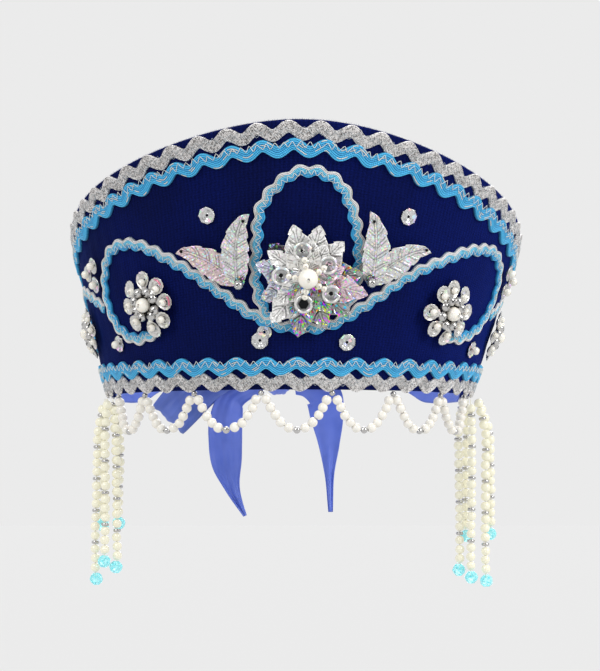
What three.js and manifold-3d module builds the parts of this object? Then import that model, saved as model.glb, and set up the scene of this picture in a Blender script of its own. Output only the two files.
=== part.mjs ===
// Kokoshnik headdress: a flared horseshoe crown of velvet with wavy braids, sequin flowers,
// pearl swags, pearl tassels and a satin ribbon tied in a bow behind the head.
// Millimetres, +Z up. The front faces -Y. The origin is the middle of the head opening, at the rim.
// Places on the wall are given as the angle round from the front, in degrees, positive to the
// wearer's left, and the height up from the rim.

import * as THREE from 'three';
import { mergeVertices } from 'three/addons/utils/BufferGeometryUtils.js';
import Module from 'manifold-3d';

const manifold = await Module();
manifold.setup();

// Crown wall
const RIM_RADIUS = 89;
const FLARE = 0.2765; // outward for each millimetre up
const SIDE_LEAN = 0.05; // the crown leans to +X by this for each millimetre up
const WALL = 2.4;
const FRONT_HEIGHT = 121.7;
const TOP_SLOPE = 0.669; // the top edge falls by this for each degree away from its middle
const TOP_ROUND = 21.2; // degrees over which its middle is rounded
const TOP_MIDDLE = -2.15;
const TOP_TILT = 0.0276; // the top edge is lower towards +X by this for each millimetre
const SHOULDER = 92; // angle past which the top edge falls faster
const END_ANGLE = 124;
const END_DROP = 14.5;
const END_POWER = 2;
const TILT_RADIUS = 111; // the top edge's mean distance from the middle
const WALL_STEPS = 46;

// Trims sewn on the wall
const GAP = 0.3;
const TRIM = 1.1;
const WAVE_PITCH = 14.4;
const SILVER_STROKE = 4.9;
const SILVER_SWING = 1.9;
const BLUE_STROKE = 4.3;
const BLUE_SWING = 2.1;
const SILVER_INSET = 5;
const BLUE_INSET = 13.4;
const RIM_SILVER_UP = 3.8;
const RIM_BLUE_UP = 11.3;
const RIM_TRIM_END = 122;
const TOP_SILVER_END = 120.5;
const TOP_BLUE_END = 116;
const BRAID_WIDTH = 5.6;
const BRAID_STEP = 6.6;
const MITRE_LIMIT = 0.6; // a strip's corner widens by no more than the inverse of this

// Sequins, leaves and flowers
const SEQUIN_RADIUS = 3.9;
const SEQUIN_HOLE = 0.8;
const SEQUIN_SHEET = 0.7;
const SEQUIN_DISH = 1.3;
const SEQUIN_SIDES = 10;
const ORNAMENT_OFF = 1.9; // above the braids
const LEAF_LENGTH = 33.5;
const LEAF_WIDTH = 12.4;
const LEAF_SHEET = 0.6;
const LEAF_CREASE = 0.6;
const LEAF_POINT = 0.3; // half the width that a pointed end keeps
const LEAF_BEAD_RADIUS = 1.9;
const FLOWER_UP = 50.2;
const PETAL_START = 4.5;
const PETAL_WIDTH = 12.3;
const PETAL_LAYER = 1.6;
const CENTRE_PEARL = 4.65;
const SPOKE_PEARL = 1.45;
const SPOKE_LENGTH = 5.4;
const SPOKE_RING = 6.2;
const SIDE_PETALS = 8;
const SIDE_PETAL_RING = 11.6;
const SIDE_PETAL_RADIUS = 3.9;
const SIDE_BEAD_RING = 5.9;
const SIDE_BEAD_RADIUS = 2.1;
const SIDE_PEARL = 3.4;
const SIDE_SHEET = 1.2;
const SIDE_FIRST_TURN = 3;
const FAR_FLOWER_SIZE = 0.8; // the flowers at the sides are smaller by this
const SINK = 0.2; // how deep joined pieces sit in each other
const ROSETTE_SIDES = 5;
const ROSETTE_ARC = 125; // each round petal's outline runs this far either side of its tip
const TREFOIL_RING = 5.1;
const TREFOIL_TURNS = [54, 172, 284];

// Pearl strings
const PEARL_RADIUS = 2.2;
const STRING_SIDES = 8;
const SWAG_RADIUS = 88;
const SWAG_TOP = -3.6;
const SWAG_DROP = 15;
const SWAG_STEPS = 5;
const TASSEL_ANGLE = 84;
const TASSEL_HEAD_UP = -3.9;
const TASSEL_HEAD_RADIUS = 6.2;
const TASSEL_HEAD_HALF = 2.4; // half the head's height
const TASSEL_SPREAD = 18; // height over which the strands spread from their head
const TASSEL_START = 0.42; // share of the spread that they have at the head
const CRYSTAL_RADIUS = 3.3;
const CRYSTAL_TABLE = 1.7;
const CRYSTAL_HALF = 2.7;
const CRYSTAL_CAP = 0.6; // height over which a strand narrows to its crystal

// Ribbon
const RIBBON = 1;
const KNOT_CENTRE = new THREE.Vector3(-1, 96, 15);
const KNOT_SIZE = new THREE.Vector3(10, 7, 11);

const radians = THREE.MathUtils.degToRad;
const wallRadius = (up) => RIM_RADIUS + FLARE * up;
const slopeLength = Math.hypot(1, FLARE);

const paint = (color, roughness, metalness) => ({ color, roughness, metalness });
const VELVET = paint(0x101c66, 0.95, 0);
const SILVER_BRAID = paint(0xb4b0b0, 0.45, 0.6);
const BLUE_BRAID = paint(0x3fa6d8, 0.6, 0.1);
const FOIL = paint(0xdadce2, 0.25, 0.8);
const PEARL = paint(0xf1ece0, 0.3, 0);
const SATIN = paint(0x4560c4, 0.35, 0);

const headdress = new THREE.Group();

function addMesh(name, geometry, finish) {
  const mesh = new THREE.Mesh(geometry, new THREE.MeshStandardMaterial(finish));
  mesh.name = name;
  headdress.add(mesh);
  return mesh;
}

// A point on the wall's outer face, or off it along the face's normal.
function wallPoint(around, up, off = 0) {
  const a = radians(around);
  const normal = new THREE.Vector3(Math.sin(a), -Math.cos(a), -FLARE - SIDE_LEAN * Math.sin(a)).normalize();
  const point = new THREE.Vector3(
    wallRadius(up) * Math.sin(a) + SIDE_LEAN * up,
    -wallRadius(up) * Math.cos(a),
    up,
  );
  return point.addScaledVector(normal, off);
}

// Sets a mesh on the wall: its x runs round to the right, its y up the slope, its z outwards.
function setOnWall(mesh, around, up, off, turn = 0) {
  const a = radians(around);
  const x = new THREE.Vector3(Math.cos(a), Math.sin(a), 0);
  const z = new THREE.Vector3(Math.sin(a), -Math.cos(a), -FLARE - SIDE_LEAN * Math.sin(a)).normalize();
  const y = new THREE.Vector3().crossVectors(z, x);
  mesh.position.copy(wallPoint(around, up, off));
  mesh.quaternion.setFromRotationMatrix(new THREE.Matrix4().makeBasis(x, y, z));
  mesh.rotateZ(radians(turn));
  return mesh;
}

function topEdge(around) {
  const a = Math.abs(around - TOP_MIDDLE);
  const fall = TOP_SLOPE * (Math.hypot(a, TOP_ROUND) - TOP_ROUND);
  const end = END_DROP * (Math.max(a - SHOULDER, 0) / (END_ANGLE - SHOULDER)) ** END_POWER;
  const tilt = TOP_TILT * TILT_RADIUS * Math.sin(radians(around));
  return FRONT_HEIGHT - fall - end - tilt;
}

// A closed body through rings that all have the same number of corners.
function loft(rings) {
  const size = rings[0].length;
  const last = (rings.length - 1) * size;
  const corners = rings.flat().flatMap((corner) => [corner.x, corner.y, corner.z]);
  const faces = [];
  for (let ring = 0; ring < last; ring += size) {
    for (let i = 0; i < size; i += 1) {
      const j = (i + 1) % size;
      faces.push(ring + i, ring + j, ring + size + j);
      faces.push(ring + i, ring + size + j, ring + size + i);
    }
  }
  for (let i = 1; i + 1 < size; i += 1) {
    faces.push(0, i + 1, i);
    faces.push(last, last + i, last + i + 1);
  }
  const geometry = new THREE.BufferGeometry();
  geometry.setAttribute('position', new THREE.Float32BufferAttribute(corners, 3));
  geometry.setIndex(faces);
  geometry.computeVertexNormals();
  return geometry;
}

const MERGE_WITHIN = 0.001;

function toSolid(geometry) {
  const bare = geometry.clone();
  bare.deleteAttribute('normal');
  bare.deleteAttribute('uv');
  const merged = mergeVertices(bare, MERGE_WITHIN);
  return new manifold.Manifold(new manifold.Mesh({
    numProp: 3,
    vertProperties: new Float32Array(merged.attributes.position.array),
    triVerts: new Uint32Array(merged.index.array),
  }));
}

function fuse(geometries) {
  const whole = geometries.map(toSolid).reduce((sum, next) => sum.add(next));
  const mesh = whole.getMesh();
  const geometry = new THREE.BufferGeometry();
  geometry.setAttribute('position', new THREE.BufferAttribute(new Float32Array(mesh.vertProperties), 3));
  geometry.setIndex(new THREE.BufferAttribute(new Uint32Array(mesh.triVerts), 1));
  geometry.computeVertexNormals();
  return geometry;
}

// A strip sewn flat on the wall along a route of wall places, cut square across at its ends.
function wallStrip(route, width, off, thickness) {
  const flat = route.map(({ around, up }) => {
    const reach = radians(1) * wallRadius(up);
    return { around, up, reach };
  });
  const direction = (from, to) => {
    const reach = (from.reach + to.reach) / 2;
    return new THREE.Vector2((to.around - from.around) * reach, (to.up - from.up) * slopeLength).normalize();
  };
  const rings = flat.map((place, i) => {
    const before = direction(flat[Math.max(i - 1, 0)], flat[Math.max(i, 1)]);
    const after = direction(flat[Math.min(i, flat.length - 2)], flat[Math.min(i + 1, flat.length - 1)]);
    const along = before.clone().add(after).normalize();
    const mitre = width / 2 / Math.max(along.dot(after), MITRE_LIMIT);
    const side = (sign, lift) => wallPoint(
      place.around - (sign * mitre * along.y) / place.reach,
      place.up + (sign * mitre * along.x) / slopeLength,
      lift,
    );
    return [
      side(1, off + thickness),
      side(-1, off + thickness),
      side(-1, off),
      side(1, off),
    ];
  });
  return loft(rings);
}

// Places every quarter wave along an edge, swung up and down to a blunt zigzag.
function waveRoute(edge, endAngle, inset, swing) {
  const fine = [];
  const fineStep = 0.25;
  for (let around = -endAngle; around <= endAngle; around += fineStep) {
    fine.push(new THREE.Vector2(around, edge(around)));
  }
  const lengths = [0];
  for (let i = 1; i < fine.length; i += 1) {
    const reach = radians(1) * wallRadius(fine[i].y);
    const across = (fine[i].x - fine[i - 1].x) * reach;
    const rise = (fine[i].y - fine[i - 1].y) * slopeLength;
    lengths.push(lengths[i - 1] + Math.hypot(across, rise));
  }
  const total = lengths[lengths.length - 1];
  const middle = lengths[(fine.length - 1) / 2];
  const quarter = WAVE_PITCH / 4;
  const first = Math.ceil((0.5 * quarter - middle) / quarter);
  const route = [];
  for (let step = first; middle + (step - 0.5) * quarter < total; step += 1) {
    const length = middle + (step - 0.5) * quarter;
    const i = Math.max(1, lengths.findIndex((value) => value >= length));
    const share = (length - lengths[i - 1]) / (lengths[i] - lengths[i - 1]);
    const place = fine[i - 1].clone().lerp(fine[i], share);
    const reach = radians(1) * wallRadius(place.y);
    const slope = new THREE.Vector2(
      (fine[i].x - fine[i - 1].x) * reach,
      (fine[i].y - fine[i - 1].y) * slopeLength,
    ).normalize();
    const crest = Math.floor((((step % 4) + 4) % 4) / 2) === 0 ? 1 : -1;
    const shift = crest * swing - inset;
    route.push({
      around: place.x - (slope.y * shift) / reach,
      up: place.y + (slope.x * shift) / slopeLength,
    });
  }
  return route;
}

// A smooth route through a table of wall places, with even steps.
function smoothRoute(table, drop = 0, mirror = 1) {
  const scale = radians(1) * RIM_RADIUS;
  const points = table.map(({ around, up }) => new THREE.Vector3(around * scale, up, 0));
  const curve = new THREE.CatmullRomCurve3(points, false, 'centripetal');
  const steps = Math.round(curve.getLength() / BRAID_STEP);
  return curve.getSpacedPoints(steps).map(({ x, y }) => ({ around: (mirror * x) / scale, up: y - drop }));
}

function stringAlong(points, steps) {
  const curve = new THREE.CatmullRomCurve3(points, false, 'centripetal');
  const section = new THREE.Shape();
  for (let i = 0; i < STRING_SIDES; i += 1) {
    const a = (2 * Math.PI * i) / STRING_SIDES;
    const corner = [PEARL_RADIUS * Math.cos(a), PEARL_RADIUS * Math.sin(a)];
    if (i === 0) section.moveTo(...corner);
    else section.lineTo(...corner);
  }
  section.closePath();
  return new THREE.ExtrudeGeometry(section, { steps, extrudePath: curve, bevelEnabled: false });
}

// A round bead whose poles lie along Z.
function bead(radius, centre, sides, rows) {
  return new THREE.SphereGeometry(radius, sides, rows).rotateX(Math.PI / 2).translate(...centre.toArray());
}

function addCrown() {
  const rings = [];
  for (let step = 0; step <= WALL_STEPS; step += 1) {
    const around = -END_ANGLE + (2 * END_ANGLE * step) / WALL_STEPS;
    const top = topEdge(around);
    rings.push([
      wallPoint(around, top),
      wallPoint(around, 0),
      wallPoint(around, 0, -WALL),
      wallPoint(around, top, -WALL),
    ]);
  }
  addMesh('crown_wall', loft(rings), VELVET);
}

function addRicrac() {
  const rim = () => 0;
  const bands = [
    { name: 'top_silver_ricrac', edge: topEdge, end: TOP_SILVER_END, inset: SILVER_INSET, silver: true },
    { name: 'top_blue_ricrac', edge: topEdge, end: TOP_BLUE_END, inset: BLUE_INSET, silver: false },
    { name: 'rim_blue_ricrac', edge: rim, end: RIM_TRIM_END, inset: -RIM_BLUE_UP, silver: false },
    { name: 'rim_silver_ricrac', edge: rim, end: RIM_TRIM_END, inset: -RIM_SILVER_UP, silver: true },
  ];
  for (const { name, edge, end, inset, silver } of bands) {
    const route = waveRoute(edge, end, inset, silver ? SILVER_SWING : BLUE_SWING);
    const strip = wallStrip(route, silver ? SILVER_STROKE : BLUE_STROKE, GAP, TRIM);
    addMesh(name, strip, silver ? SILVER_BRAID : BLUE_BRAID);
  }
}

function addBraids() {
  const scroll = [
    { around: -43.4, up: 28.4 },
    { around: -48.4, up: 25.8 },
    { around: -54.2, up: 25.6 },
    { around: -61.3, up: 33 },
    { around: -63.9, up: 44.6 },
    { around: -62.4, up: 56 },
    { around: -57, up: 67.1 },
    { around: -47.6, up: 68.9 },
    { around: -35.4, up: 59.7 },
    { around: -24.5, up: 47.4 },
    { around: -13.9, up: 34.7 },
    { around: -6.6, up: 29.6 },
    { around: 1.7, up: 28.4 },
    { around: 8.3, up: 30.9 },
    { around: 17.8, up: 41 },
    { around: 27.1, up: 52.6 },
    { around: 37.6, up: 61.2 },
    { around: 47, up: 66.6 },
    { around: 57.6, up: 66.8 },
    { around: 65.2, up: 57.6 },
    { around: 66.5, up: 45 },
    { around: 62, up: 32.7 },
    { around: 54.4, up: 26.8 },
    { around: 48.6, up: 26 },
    { around: 45.2, up: 27.6 },
  ];
  const loop = [
    { around: -11.9, up: 38.8 },
    { around: -13.1, up: 52 },
    { around: -12.8, up: 67 },
    { around: -11.9, up: 82 },
    { around: -8, up: 93 },
    { around: -3.6, up: 98.6 },
    { around: 1.2, up: 98.6 },
    { around: 5.9, up: 94 },
    { around: 9.6, up: 83 },
    { around: 12.1, up: 69 },
    { around: 13.1, up: 56 },
    { around: 12, up: 41.5 },
  ];
  const side = [
    { around: 67, up: 41.2 },
    { around: 72, up: 44.8 },
    { around: 78.4, up: 48.6 },
    { around: 84, up: 50.4 },
    { around: 90, up: 48.6 },
    { around: 94.8, up: 44.6 },
    { around: 97.6, up: 39.8 },
    { around: 98.4, up: 35 },
    { around: 97.4, up: 29.6 },
    { around: 95, up: 25 },
    { around: 91.5, up: 22.4 },
  ];
  const rightShift = 2.4; // the right one starts further round, beside the scroll's wider curl
  const sideRight = side.map(({ around, up }) => ({ around: around + rightShift, up }));
  const braids = [
    { name: 'scroll_braid', route: smoothRoute(scroll) },
    { name: 'loop_braid', route: smoothRoute(loop) },
    { name: 'side_braid_left', route: smoothRoute(side, 0, -1) },
    { name: 'side_braid_right', route: smoothRoute(sideRight, 3.2) },
  ];
  for (const { name, route } of braids) {
    addMesh(name, wallStrip(route, BRAID_WIDTH, GAP, TRIM), BLUE_BRAID);
  }
}

// A creased plate along +X, through a table of half widths.
function creasedPlate(length, width, crease, profile) {
  const rings = profile.map(({ along, half }) => {
    const x = along * length;
    const y = Math.max(half * width, LEAF_POINT);
    const rise = (crease * y) / (width / 2);
    return [
      new THREE.Vector3(x, -y, rise),
      new THREE.Vector3(x, -y, rise + LEAF_SHEET),
      new THREE.Vector3(x, 0, LEAF_SHEET),
      new THREE.Vector3(x, y, rise + LEAF_SHEET),
      new THREE.Vector3(x, y, rise),
      new THREE.Vector3(x, 0, 0),
    ].reverse();
  });
  return loft(rings);
}

function addLeaves() {
  const profile = [
    { along: 0, half: 0.12 },
    { along: 0.16, half: 0.4 },
    { along: 0.36, half: 0.5 },
    { along: 0.6, half: 0.42 },
    { along: 0.8, half: 0.24 },
    { along: 1, half: 0 },
  ];
  const leaves = [
    { name: 'leaf_left_upper', around: -16.9, up: 47.8, layer: 1, turn: 85 },
    { name: 'leaf_left_lower', around: -17.6, up: 48, layer: 0, turn: 147 },
    { name: 'leaf_right_upper', around: 17.4, up: 47.8, layer: 1, turn: 97 },
    { name: 'leaf_right_lower', around: 17.8, up: 48, layer: 0, turn: 31 },
  ];
  for (const { name, around, up, layer, turn } of leaves) {
    const plate = creasedPlate(LEAF_LENGTH, LEAF_WIDTH, LEAF_CREASE, profile);
    setOnWall(addMesh(name, plate, FOIL), around, up, ORNAMENT_OFF + layer * PETAL_LAYER, turn);
  }
  const beadOff = ORNAMENT_OFF + 2 * PETAL_LAYER + LEAF_BEAD_RADIUS;
  for (const [name, around, up] of [['leaf_bead_left', -17.6, 48.2], ['leaf_bead_right', 17.4, 49]]) {
    const round = bead(LEAF_BEAD_RADIUS, new THREE.Vector3(), 10, 4);
    setOnWall(addMesh(name, round, FOIL), around, up, beadOff);
  }
}

// A dished sequin with a hole, facing +Z.
function sequin() {
  const profile = [
    new THREE.Vector2(SEQUIN_HOLE, 0),
    new THREE.Vector2(SEQUIN_RADIUS, SEQUIN_DISH),
    new THREE.Vector2(SEQUIN_RADIUS, SEQUIN_DISH + SEQUIN_SHEET),
    new THREE.Vector2(SEQUIN_HOLE, SEQUIN_SHEET),
    new THREE.Vector2(SEQUIN_HOLE, 0),
  ];
  return new THREE.LatheGeometry(profile, SEQUIN_SIDES).rotateX(Math.PI / 2);
}

function addSequins() {
  const sequins = [
    { name: 'sequin_upper_left', around: -25, up: 80 },
    { name: 'sequin_upper_right', around: 24.2, up: 79.8 },
    { name: 'sequin_lower_left', around: -11.8, up: 22.9 },
    { name: 'sequin_lower_right', around: 12.5, up: 22.2 },
    { name: 'sequin_outer_left', around: -61.5, up: 23.6 },
    { name: 'sequin_outer_right', around: 61.4, up: 21.4 },
  ];
  for (const { name, around, up } of sequins) {
    setOnWall(addMesh(name, sequin(), FOIL), around, up, GAP);
  }
}

function addCentreFlower() {
  const petalProfile = [
    { along: 0, half: 0.16 },
    { along: 0.54, half: 0.5 },
    { along: 0.78, half: 0.36 },
    { along: 1, half: 0 },
  ];
  const petals = [
    { turn: 6, reach: 26, layer: 0 },
    { turn: 47, reach: 24.5, layer: 1 },
    { turn: 77, reach: 25.8, layer: 0 },
    { turn: 105, reach: 26.6, layer: 1 },
    { turn: 137, reach: 24, layer: 0 },
    { turn: 163, reach: 25, layer: 1 },
    { turn: 204, reach: 23, layer: 0 },
    { turn: 231, reach: 26, layer: 1 },
    { turn: 262, reach: 27.7, layer: 0 },
    { turn: 291, reach: 25, layer: 1 },
    { turn: 318, reach: 26, layer: 0 },
    { turn: 346, reach: 29, layer: 1 },
  ];
  petals.forEach(({ turn, reach, layer }, i) => {
    const plate = creasedPlate(reach - PETAL_START, PETAL_WIDTH, LEAF_CREASE, petalProfile);
    plate.translate(PETAL_START, 0, 0);
    const name = `flower_petal_${String(i + 1).padStart(2, '0')}`;
    setOnWall(addMesh(name, plate, FOIL), 0, FLOWER_UP, ORNAMENT_OFF + layer * PETAL_LAYER, turn);
  });
  const cups = [
    { turn: 101, ring: 13 },
    { turn: 34, ring: 11.4 },
    { turn: 327, ring: 13 },
    { turn: 262, ring: 12 },
    { turn: 174, ring: 12.2 },
  ];
  const cupOff = ORNAMENT_OFF + 2 * PETAL_LAYER;
  cups.forEach(({ turn, ring }, i) => {
    const cup = sequin().translate(ring, 0, 0);
    setOnWall(addMesh(`flower_cup_${i + 1}`, cup, FOIL), 0, FLOWER_UP, cupOff, turn);
  });
  // Each spoke is a short string of small pearls, from the centre pearl down to its cup.
  const pearlUp = CENTRE_PEARL + GAP;
  const cupUp = SEQUIN_DISH + SEQUIN_SHEET + SPOKE_PEARL + GAP;
  const beads = [bead(CENTRE_PEARL, new THREE.Vector3(0, 0, pearlUp), 12, 6)];
  for (const { turn } of cups) {
    const spoke = new THREE.CylinderGeometry(SPOKE_PEARL, SPOKE_PEARL, SPOKE_LENGTH, STRING_SIDES);
    spoke.rotateZ(Math.PI / 2).rotateY(Math.atan2(pearlUp - cupUp, SPOKE_LENGTH));
    spoke.translate(SPOKE_RING, 0, (pearlUp + cupUp) / 2).rotateZ(radians(turn));
    beads.push(spoke);
  }
  setOnWall(addMesh('flower_pearl', fuse(beads), PEARL), 0, FLOWER_UP, cupOff);
}

// Round sequins in a ring as one plate: an arc for each, joined to the next near the middle.
function rosette(turns, ring, radius) {
  const outline = new THREE.Shape();
  turns.forEach((turn, petal) => {
    const x = ring * Math.cos(radians(turn));
    const y = ring * Math.sin(radians(turn));
    for (let i = 0; i <= ROSETTE_SIDES; i += 1) {
      const a = radians(turn + ROSETTE_ARC * ((2 * i) / ROSETTE_SIDES - 1));
      const corner = [x + radius * Math.cos(a), y + radius * Math.sin(a)];
      if (petal === 0 && i === 0) outline.moveTo(...corner);
      else outline.lineTo(...corner);
    }
  });
  outline.closePath();
  return new THREE.ExtrudeGeometry(outline, { depth: SIDE_SHEET, bevelEnabled: false });
}

function addSideFlowers() {
  const flowers = [
    { name: 'side_flower_left', around: -44.4, up: 41.4, size: 1 },
    { name: 'side_flower_right', around: 42.4, up: 38, size: 1 },
    { name: 'far_flower_left', around: -82, up: 31, size: FAR_FLOWER_SIZE },
    { name: 'far_flower_right', around: 80, up: 30, size: FAR_FLOWER_SIZE },
  ];
  const turns = Array.from({ length: SIDE_PETALS }, (_, i) => SIDE_FIRST_TURN + (360 * i) / SIDE_PETALS);
  const ringProfile = [
    new THREE.Vector2(SIDE_BEAD_RING - SIDE_BEAD_RADIUS, 0),
    new THREE.Vector2(SIDE_BEAD_RING + SIDE_BEAD_RADIUS, 0),
    new THREE.Vector2(SIDE_BEAD_RING, 2 * SIDE_BEAD_RADIUS),
    new THREE.Vector2(SIDE_BEAD_RING - SIDE_BEAD_RADIUS, 0),
  ];
  for (const { name, around, up, size } of flowers) {
    const parts = [
      rosette(turns, SIDE_PETAL_RING, SIDE_PETAL_RADIUS),
      new THREE.LatheGeometry(ringProfile, 12).rotateX(Math.PI / 2).translate(0, 0, SIDE_SHEET - SINK),
      bead(SIDE_PEARL, new THREE.Vector3(0, 0, SIDE_SHEET + SIDE_PEARL - 2 * SINK), 10, 6),
    ];
    const flower = fuse(parts).scale(size, size, size);
    setOnWall(addMesh(name, flower, FOIL), around, up, ORNAMENT_OFF);
  }
}

function addTrefoils() {
  for (const { name, around, up, mirror } of [
    { name: 'trefoil_left', around: -67.2, up: 57.3, mirror: 1 },
    { name: 'trefoil_right', around: 70.9, up: 55.4, mirror: -1 },
  ]) {
    const turns = TREFOIL_TURNS.map((turn) => (mirror === 1 ? turn : 180 - turn)).sort((a, b) => a - b);
    const plate = rosette(turns, TREFOIL_RING, SEQUIN_RADIUS);
    setOnWall(addMesh(name, plate, FOIL), around, up, ORNAMENT_OFF);
  }
}

function addSwags() {
  const anchors = [-72, -54, -33.3, -11.5, 10.1, 30.6, 51.8, 70.9];
  const hang = (around, up) => new THREE.Vector3(
    SWAG_RADIUS * Math.sin(radians(around)),
    -SWAG_RADIUS * Math.cos(radians(around)),
    up,
  );
  const parts = [];
  for (let i = 0; i + 1 < anchors.length; i += 1) {
    const points = [];
    for (let step = 0; step <= SWAG_STEPS; step += 1) {
      const share = step / SWAG_STEPS;
      const around = THREE.MathUtils.lerp(anchors[i], anchors[i + 1], share);
      points.push(hang(around, SWAG_TOP - SWAG_DROP * 4 * share * (1 - share)));
    }
    parts.push(stringAlong(points, SWAG_STEPS));
  }
  addMesh('pearl_swags', fuse(parts), PEARL);
}

function addTassels() {
  const strands = [
    { side: 'left', x: -94.4, y: -10, length: 89 },
    { side: 'left', x: -84.9, y: -12.5, length: 83.2 },
    { side: 'left', x: -90.6, y: -15.2, length: 80.4 },
    { side: 'left', x: -91.4, y: -4.8, length: 62.9 },
    { side: 'left', x: -83.6, y: -6.8, length: 62 },
    { side: 'right', x: 96, y: -10, length: 90.2 },
    { side: 'right', x: 88.3, y: -13, length: 88.4 },
    { side: 'right', x: 82.6, y: -9, length: 84.8 },
    { side: 'right', x: 87, y: -3.6, length: 68.4 },
    { side: 'right', x: 98.6, y: -4, length: 67.3 },
  ];
  for (const side of ['left', 'right']) {
    const sign = side === 'left' ? -1 : 1;
    const head = new THREE.Vector3(
      sign * SWAG_RADIUS * Math.sin(radians(TASSEL_ANGLE)),
      -SWAG_RADIUS * Math.cos(radians(TASSEL_ANGLE)),
      TASSEL_HEAD_UP,
    );
    const dome = new THREE.SphereGeometry(TASSEL_HEAD_RADIUS, 10, 4);
    dome.scale(1, 1, TASSEL_HEAD_HALF / TASSEL_HEAD_RADIUS).translate(head.x, head.y, head.z);
    const parts = [dome];
    for (const strand of strands.filter((row) => row.side === side)) {
      const end = new THREE.Vector3(strand.x, strand.y, -strand.length);
      const rings = [
        { up: head.z - 2 * SINK, share: TASSEL_START, radius: PEARL_RADIUS },
        { up: head.z - TASSEL_SPREAD / 2, share: (1 + TASSEL_START) / 2, radius: PEARL_RADIUS },
        { up: head.z - TASSEL_SPREAD, share: 1, radius: PEARL_RADIUS },
        { up: end.z + CRYSTAL_HALF + CRYSTAL_CAP, share: 1, radius: PEARL_RADIUS },
        { up: end.z + CRYSTAL_HALF, share: 1, radius: CRYSTAL_TABLE },
        { up: end.z, share: 1, radius: CRYSTAL_RADIUS },
        { up: end.z - CRYSTAL_HALF, share: 1, radius: CRYSTAL_TABLE },
      ];
      parts.push(loft(rings.map(({ up, share, radius }) => {
        const middle = head.clone().lerp(end, share).setZ(up);
        return Array.from({ length: STRING_SIDES }, (_, i) => {
          const a = (-2 * Math.PI * i) / STRING_SIDES;
          return middle.clone().add(new THREE.Vector3(radius * Math.cos(a), radius * Math.sin(a), 0));
        });
      })));
    }
    addMesh(`tassel_${side}`, fuse(parts), PEARL);
  }
}

// A flat band of ribbon: each row gives a middle point, half its width and how far the width is
// tipped from upright. With no tip the width lies square across the band's way, facing back.
function ribbonBand(rows) {
  const places = rows.map(({ x, y, z }) => new THREE.Vector3(x, y, z));
  return loft(rows.map(({ half, tip }, i) => {
    const along = places[Math.min(i + 1, rows.length - 1)].clone().sub(places[Math.max(i - 1, 0)]).normalize();
    const side = tip === undefined
      ? new THREE.Vector3(along.z, 0, -along.x)
      : new THREE.Vector3(Math.sin(radians(tip)), 0, Math.cos(radians(tip)));
    side.addScaledVector(along, -side.dot(along)).normalize();
    const out = new THREE.Vector3().crossVectors(along, side);
    const corner = (across, lift) => places[i].clone()
      .addScaledVector(side, across * half)
      .addScaledVector(out, (lift * RIBBON) / 2);
    return [corner(-1, -1), corner(1, -1), corner(1, 1), corner(-1, 1)];
  }));
}

function addRibbonTies() {
  // Each row is a section of the left tie: its angle round, its edges, and how far in it lies there.
  const inner = WALL + GAP + RIBBON;
  const sections = [
    { around: 98, low: -2, high: 20, flare: 1, out: 0 },
    { around: 107, low: -2, high: 20, flare: 1, out: 0 },
    { around: 116, low: -2, high: 21, flare: 1, out: 0 },
    { around: 125, low: -1, high: 22, flare: 1, out: 0 },
    { around: 134, low: 5, high: 25, flare: 0.6, out: 0.6 },
    { around: 144, low: 8, high: 26, flare: 0.3, out: 2.4 },
    { around: 154, low: 9, high: 25, flare: 0.2, out: 4.6 },
    { around: 164, low: 10, high: 22, flare: 0, out: 6.8 },
    { around: 171, low: 12, high: 19, flare: 0, out: 8.6 },
  ];
  for (const [name, mirror] of [['ribbon_tie_left', -1], ['ribbon_tie_right', 1]]) {
    const rings = sections.map(({ around, low, high, flare, out }) => {
      const a = radians(mirror * around);
      const corner = (up, depth) => {
        const radius = RIM_RADIUS - inner + out + FLARE * flare * up + depth;
        return new THREE.Vector3(radius * Math.sin(a) + SIDE_LEAN * up, -radius * Math.cos(a), up);
      };
      const ring = [corner(high, 0), corner(high, RIBBON), corner(low, RIBBON), corner(low, 0)];
      return mirror === 1 ? ring : ring.reverse();
    });
    addMesh(name, loft(rings), SATIN);
  }
}

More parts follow.
